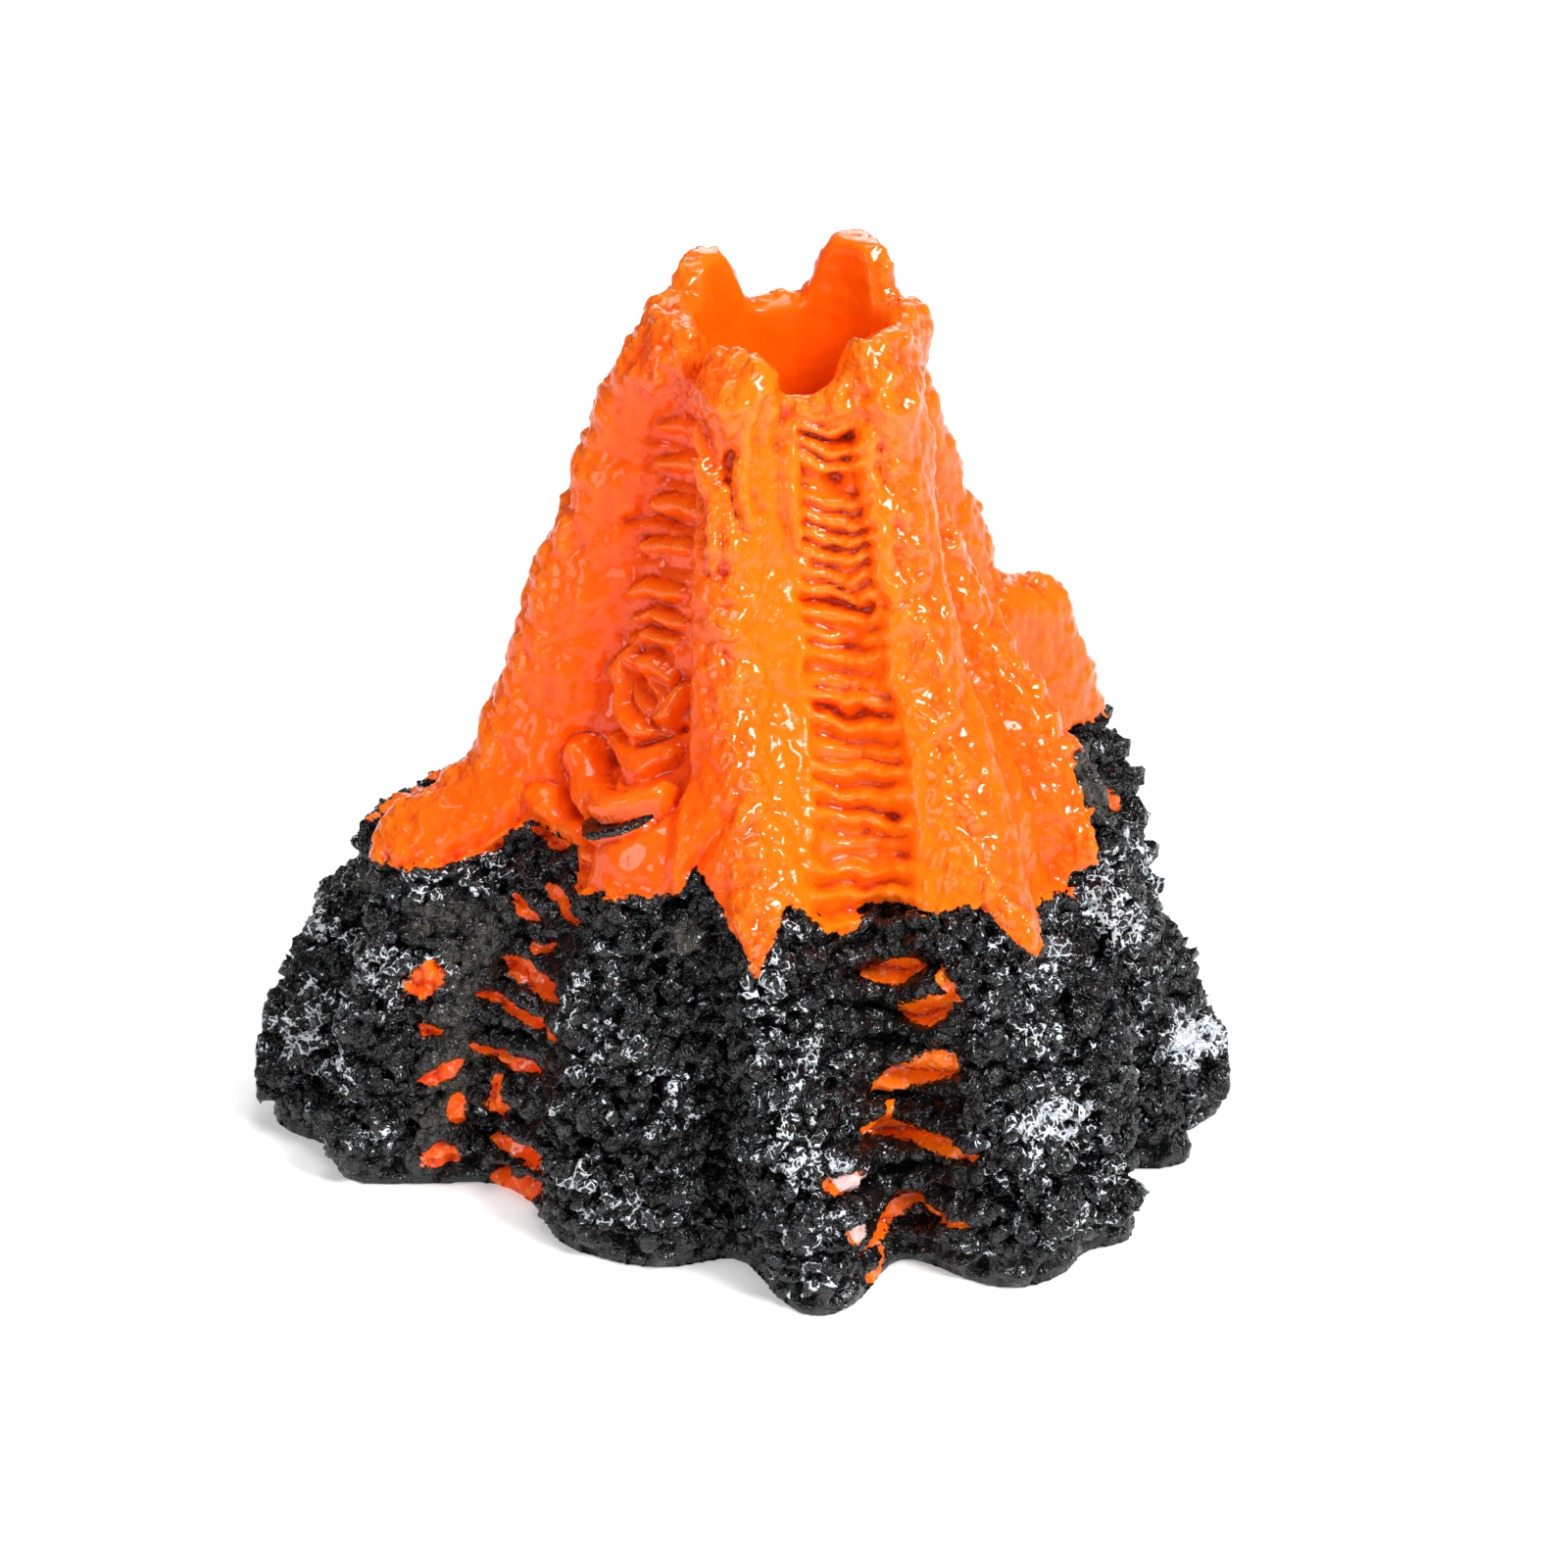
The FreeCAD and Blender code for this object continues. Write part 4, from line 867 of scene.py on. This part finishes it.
def orange_enamel(m, upper, ragged, raised, broad):
    """The orange: painted light makes it golden on raised parts and on the flanks that face the light,
    painted shade makes it red in the folds and hollows, and it is scuffed and pale on some streaks.
    """
    bulge, swell = m.field("bulge"), m.field("swell")
    broad_shift = m.centred(broad, 0.6)
    # Painted shade: deeper red-orange where the surface is hollow at a large scale and lighter orange where
    # it swells, with a slow random change of tone over it.
    depth = m.math("ADD", m.ramp(swell, -0.8, 0.6), broad_shift, clamp=True)
    orange = m.mix(depth, rgb(248, 78, 1), rgb(255, 106, 6))
    # Painted light and shade: golden on the flanks that face the light, deep red-orange on the flanks that
    # face away from it.
    warm = m.plus(m.field("warm"), broad_shift)
    orange = m.tint(orange, rgb(253, 117, 6), m.ramp(warm, 0.0, 1.2), 0.62)
    orange = m.tint(orange, rgb(246, 76, 0), m.ramp(warm, -0.1, -1.0), 0.5)
    # Painted light: lighter golden orange on raised bumps, where light catches them, broken up by fine
    # noise.
    orange = m.tint(orange, rgb(255, 130, 16), m.ramp(raised, 0.05, 0.5), 0.4)
    # Painted shade: deep red in creases and hollows, and nearly black red in the deepest creases.
    hollow_shade = m.math("MAXIMUM", m.ramp(bulge, -0.1, -0.5), m.ramp(swell, -0.6, -2.2))
    orange = m.tint(orange, rgb(186, 22, 0), hollow_shade, 0.75)
    orange = m.tint(orange, rgb(70, 6, 0), m.ramp(bulge, -0.5, -1.1), 0.7)
    scuffed = m.times(m.rest_of(upper), m.ramp(m.noise(1.3, 2.0), 0.58, 0.72))
    orange = m.tint(orange, rgb(252, 190, 168), scuffed, 0.4)
    pale = m.ramp(m.plus(m.field("pale"), m.times(ragged, 0.5)), -0.1, 0.1)
    return m.tint(orange, rgb(240, 208, 206), pale, 0.9)


def black_rock(m, fine, grain, broad):
    """The black: painted shade darkens its hollows and creases and painted light lifts the tops of its
    folds, and it is brownish in patches, grey where it is worn bare, with a plain band at the foot.
    """
    bulge, folded = m.field("bulge"), m.field("folded")
    # Painted light and shade: the black is darker in large hollows and lighter on the high parts, most of
    # all on the tops of the folds.
    lit_tops_black = m.mix(folded, rgb(10, 10, 11), rgb(17, 17, 16))
    black = m.mix(m.ramp(m.field("swell"), -0.9, 0.9), rgb(2, 2, 2), lit_tops_black)
    black = m.tint(black, rgb(30, 28, 25), m.ramp(m.noise(5.0, 3.0, 0.6), 0.56, 0.76), 0.45)
    worn = m.times(m.ramp(m.field("bare"), 0.3, 0.8), m.ramp(m.noise(2.2, 2.0, 0.6), 0.30, 0.62))
    black = m.mix(worn, black, m.mix(fine, rgb(44, 42, 37), rgb(78, 75, 66)))
    black = m.tint(black, rgb(48, 52, 55), m.ramp(grain, 0.62, 0.8), 0.15)
    # Painted shade: near-black in creases and hollows.
    black = m.tint(black, rgb(2, 2, 2), m.ramp(bulge, -0.05, -0.4), 0.9)
    return m.tint(black, m.mix(broad, rgb(9, 10, 10), rgb(22, 23, 24)), m.field("skirt"), 0.8)


def dry_brushed(m, black, lace):
    """Pale blue-white brushed over the black's high spots, in a lace with pores."""
    plain = m.plus(m.field("folded"), m.field("skirt"))
    pore = m.ramp(m.cell(1.3), 0.42, 0.24)
    fleck = m.centred(m.noise(0.8, 2.0, 0.55), 1.4)
    patch = m.centred(m.noise(5.5, 2.0, 0.55), 1.9)
    cover = m.plus(patch, m.times(m.field("frost"), 0.52))
    cover = m.plus(cover, m.times(m.ramp(m.field("bulge"), 0.0, 0.4), 0.42))
    cover = m.plus(cover, m.plus(fleck, m.times(lace, 0.58)))
    cover = m.math("SUBTRACT", cover, m.times(pore, 0.3))
    cover = m.math("SUBTRACT", cover, m.times(plain, 0.35))
    black = m.tint(black, rgb(104, 116, 126), m.ramp(cover, 0.85, 1.3), 0.15)
    white = m.mix(m.noise(1.4), rgb(192, 205, 216), rgb(246, 249, 251))
    return m.tint(black, white, m.ramp(cover, 1.24, 1.36), 0.94)


def painted_relief(m, lava, lace, grain):
    """The bump: pebbles on the enamel, and lace and grit on the rock."""
    pebble = m.ramp(m.cell(1.5, where=m.warped(2.0, 0.6)), 0.0, 0.8, 1.0, 0.0)
    pebble = m.times(pebble, m.plus(m.times(m.field("crest"), 0.7), 0.2))
    rocky = m.plus(m.times(m.noise(1.6, 2.0, 0.5), 1.3), m.times(grain, 0.15))
    rocky = m.plus(rocky, m.times(lace, 0.5))
    even = m.times(m.math("MAXIMUM", m.field("skirt"), m.field("folded")), 0.6)
    rocky = m.times(rocky, m.rest_of(even))
    painted = m.plus(pebble, m.times(m.noise(1.1, 1.0), 0.35))
    outside = m.rest_of(m.times(m.field("inside"), 0.8))
    return m.blend(lava, rocky, m.times(painted, outside))


def painted_resin():
    """Glossy orange enamel over glossy black rock, with bare resin deep inside."""
    m = Shade("painted_resin")
    fine, grain, broad = m.noise(0.55, 2.0, 0.6), m.noise(0.3, 1.0), m.noise(9.0, 2.0)
    folded = m.field("folded")
    ragged = m.centred(m.noise(0.9, 3.0, 0.65), 1.8)
    raised = m.plus(m.field("bulge"), m.centred(fine, 0.1))
    warped = m.warped(2.2, 0.9)
    lace = m.math("MAXIMUM", m.ramp(m.cell(1.7, "DISTANCE_TO_EDGE", warped), 0.14, 0.01),
                  m.ramp(m.cell(3.2, "DISTANCE_TO_EDGE", warped), 0.08, 0.01))
    upper, lava = lava_masks(m, ragged)
    orange = orange_enamel(m, upper, ragged, raised, broad)
    black = dry_brushed(m, black_rock(m, fine, grain, broad), lace)
    resin = m.mix(m.noise(3.0, 3.0), rgb(58, 56, 52), rgb(92, 89, 83))
    unpainted = m.rest_of(m.ramp(m.field("paint"), 26.0, 36.0))
    bare = m.times(m.field("inside"), unpainted)
    m.set(Base_Color=m.mix(bare, m.mix(lava, black, orange), resin))
    gloss = m.times(lava, m.rest_of(bare))
    black_rough = m.blend(folded, m.ramp(fine, 0.3, 0.7, 0.14, 0.3), 0.16)
    m.set(Roughness=m.blend(gloss, black_rough, m.ramp(fine, 0.3, 0.7, 0.18, 0.34)))
    m.set(Specular_IOR_Level=m.blend(gloss, m.ramp(raised, -0.4, 0.1, 0.06, 0.55), 0.08))
    wet = m.ramp(m.math("MAXIMUM", m.field("crest"), folded), 0.0, 1.0, 0.34, 0.7)
    m.set(Coat_Weight=m.times(gloss, wet), Coat_Roughness=0.05)
    m.bump(painted_relief(m, lava, lace, grain), 0.5)
    return m.material


def moulded(name, dark, light, roughness, size_mm=1.2, depth_mm=0.02, **extra):
    """Moulded plastic: a slight mottle, and a fine even grain in its gloss and its surface."""
    m = Shade(name)
    mottle = m.noise(size_mm * 4, 3.0)
    grain = m.noise(size_mm * 0.25, 2.0)
    m.set(Base_Color=m.mix(mottle, rgb(*dark), rgb(*light)))
    m.set(Roughness=m.ramp(grain, 0.3, 0.7, roughness * 0.8, roughness * 1.25), **extra)
    m.bump(grain, depth_mm)
    return m.material


def brushed_steel():
    """Steel plate with brush strokes along x."""
    m = Shade("steel_plate")
    strokes = m.noise(0.5, 2.0, 0.6, stretch=(0.05, 1, 1))
    m.set(Base_Color=m.mix(strokes, rgb(150, 150, 147), rgb(196, 196, 192)), Metallic=1.0)
    m.set(Roughness=m.ramp(strokes, 0.3, 0.7, 0.28, 0.46))
    m.bump(strokes, 0.02)
    return m.material


def sintered_stone():
    """Fused grains of blue-grey ceramic with open pores."""
    m = Shade("sintered_stone")
    grain = m.cell(0.75)
    tint = m.noise(0.8, 2.0)
    blue_grey = m.mix(tint, rgb(120, 134, 150), rgb(158, 170, 182))
    m.set(Base_Color=m.mix(m.ramp(grain, 0.2, 0.75), blue_grey, rgb(44, 50, 58)))
    m.set(Roughness=m.ramp(grain, 0.1, 0.8, 0.62, 0.95))
    m.bump(m.ramp(grain, 0.0, 0.8, 1.0, 0.0, smooth=False), 0.35)
    return m.material


def clear_plastic(name, tint, roughness, clear):
    """Clear PVC or acrylic, with faint flow lines along the tube."""
    m = Shade(name)
    flow = m.noise(1.6, 2.0, 0.5, stretch=(1, 0.15, 1))
    haze = m.noise(6.0, 2.0)
    m.set(Base_Color=m.mix(haze, rgb(*tint), rgb(*[min(255, c + 10) for c in tint])))
    m.set(Roughness=m.ramp(flow, 0.3, 0.7, roughness, roughness * 2.2), IOR=1.5)
    m.set(Transmission_Weight=clear)
    m.bump(flow, 0.02)
    return m.material


MATERIALS = {
    "black_abs": moulded("black_abs", (15, 16, 17), (24, 25, 26), 0.38),
    "steel_plate": brushed_steel(),
    "sintered_stone": sintered_stone(),
    "black_rubber": moulded("black_rubber", (17, 17, 17), (29, 29, 28), 0.7, 0.9, 0.04),
    "clear_tube": clear_plastic("clear_tube", (206, 218, 222), 0.08, 0.82),
    "clear_acrylic": clear_plastic("clear_acrylic", (222, 230, 234), 0.05, 0.86),
    "blue_acrylic": moulded("blue_acrylic", (26, 74, 160), (40, 96, 184), 0.2),
    "silicone": moulded("silicone", (196, 188, 172), (214, 206, 190), 0.55),
    "grey_acetal": moulded("grey_acetal", (42, 44, 47), (56, 58, 61), 0.42),
    "white_acetal": moulded("white_acetal", (212, 212, 206), (228, 228, 222), 0.4),
    "red_abs": moulded("red_abs", (158, 22, 16), (184, 32, 24), 0.32),
    "soft_vinyl": moulded("soft_vinyl", (170, 182, 186), (194, 204, 206), 0.3, 1.5, 0.03),
}


def dress(ob, material):
    """Gives an object one material in place of any that it has."""
    ob.data.materials.clear()
    ob.data.materials.append(material)


volcano = casting()
dress(volcano, painted_resin())
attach(volcano, "shell")
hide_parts("volcano_shell")

for part in frame["record"]["subparts"]:
    if part["node"] != "volcano_shell":
        dress(frame["nodes"][part["node"]], MATERIALS[part["material_slot"]])

# ---------------------------------------------------------------- floor, light and camera


def floor():
    """A pale floor that glows, more strongly away from the object, so that it meets the white surroundings.
    """
    side = 3.0
    mesh = bpy.data.meshes.new("floor")
    corners = [(-side, -side), (side, -side), (side, side), (-side, side)]
    mesh.from_pydata([(x, y, -0.0002) for x, y in corners], [], [(0, 1, 2, 3)])
    ob = bpy.data.objects.new("floor", mesh)
    link(ob)
    m = Shade("floor")
    pale = m.mix(m.noise(400.0, 2.0), rgb(244, 244, 244), rgb(249, 249, 249))
    distance = m.tree.nodes.new("ShaderNodeVectorMath")
    distance.operation = "LENGTH"
    m.tree.links.new(m.coordinates, distance.inputs[0])
    glow = m.ramp(distance.outputs["Value"], 0.25, 1.2, 0.32, 0.85)
    m.set(Base_Color=pale, Roughness=0.9, Specular_IOR_Level=0.2)
    m.set(Emission_Color=pale, Emission_Strength=glow)
    dress(ob, m.material)


def softbox(name, location, target, side, power):
    """A square white light that faces its target."""
    light = bpy.data.lights.new(name, "AREA")
    light.shape, light.size, light.energy = "SQUARE", side, power
    ob = bpy.data.objects.new(name, light)
    ob.location = location
    ob.rotation_euler = (Vector(target) - Vector(location)).to_track_quat("-Z", "Y").to_euler()
    link(ob)


def surroundings():
    """A white studio: seen as white behind the object, dimmer as a light on it, and dimmer still in its
    gloss, so that forms read and the paint keeps its colour."""
    world = bpy.data.worlds.new("studio")
    world.use_nodes = True
    tree = world.node_tree
    path = tree.nodes.new("ShaderNodeLightPath")
    strength = 0.27
    for ray, level in (("Is Glossy Ray", 0.10), ("Is Camera Ray", 1.0)):
        choose = tree.nodes.new("ShaderNodeMix")
        tree.links.new(path.outputs[ray], choose.inputs[0])
        if isinstance(strength, float):
            choose.inputs[2].default_value = strength
        else:
            tree.links.new(strength, choose.inputs[2])
        choose.inputs[3].default_value = level
        strength = choose.outputs[0]
    background = tree.nodes["Background"]
    background.inputs["Color"].default_value = (1, 1, 1, 1)
    tree.links.new(strength, background.inputs["Strength"])
    bpy.context.scene.world = world
    middle = (0, 0, 0.06)
    softbox("key", (0.46, -0.42, 0.55), middle, 0.22, 6.0)
    softbox("fill", (-0.45, -0.60, 0.35), middle, 0.30, 1.4)
    softbox("top", (0.05, -0.05, 0.85), middle, 0.35, 2.6)
    softbox("back", (0.10, 0.80, 0.50), middle, 0.45, 2.4)


def camera():
    """Looks down at 25 degrees from 650 mm, which is an estimate of the photograph's view."""
    elevation, distance, half_frame = math.radians(25.0), 0.650, 0.1104
    target = Vector((-0.0011, 0, 0.0464))
    back = Vector((0, -math.cos(elevation), math.sin(elevation)))
    data = bpy.data.cameras.new("camera")
    data.sensor_width = 36.0
    data.lens = 18.0 / (half_frame / distance)
    data.clip_start, data.clip_end = 0.01, 20.0
    ob = bpy.data.objects.new("camera", data)
    ob.location = target + back * distance
    ob.rotation_euler = (-back).to_track_quat("-Z", "Y").to_euler()
    link(ob)
    bpy.context.scene.camera = ob
    bpy.context.scene.view_settings.view_transform = "Standard"


floor()
surroundings()
camera()
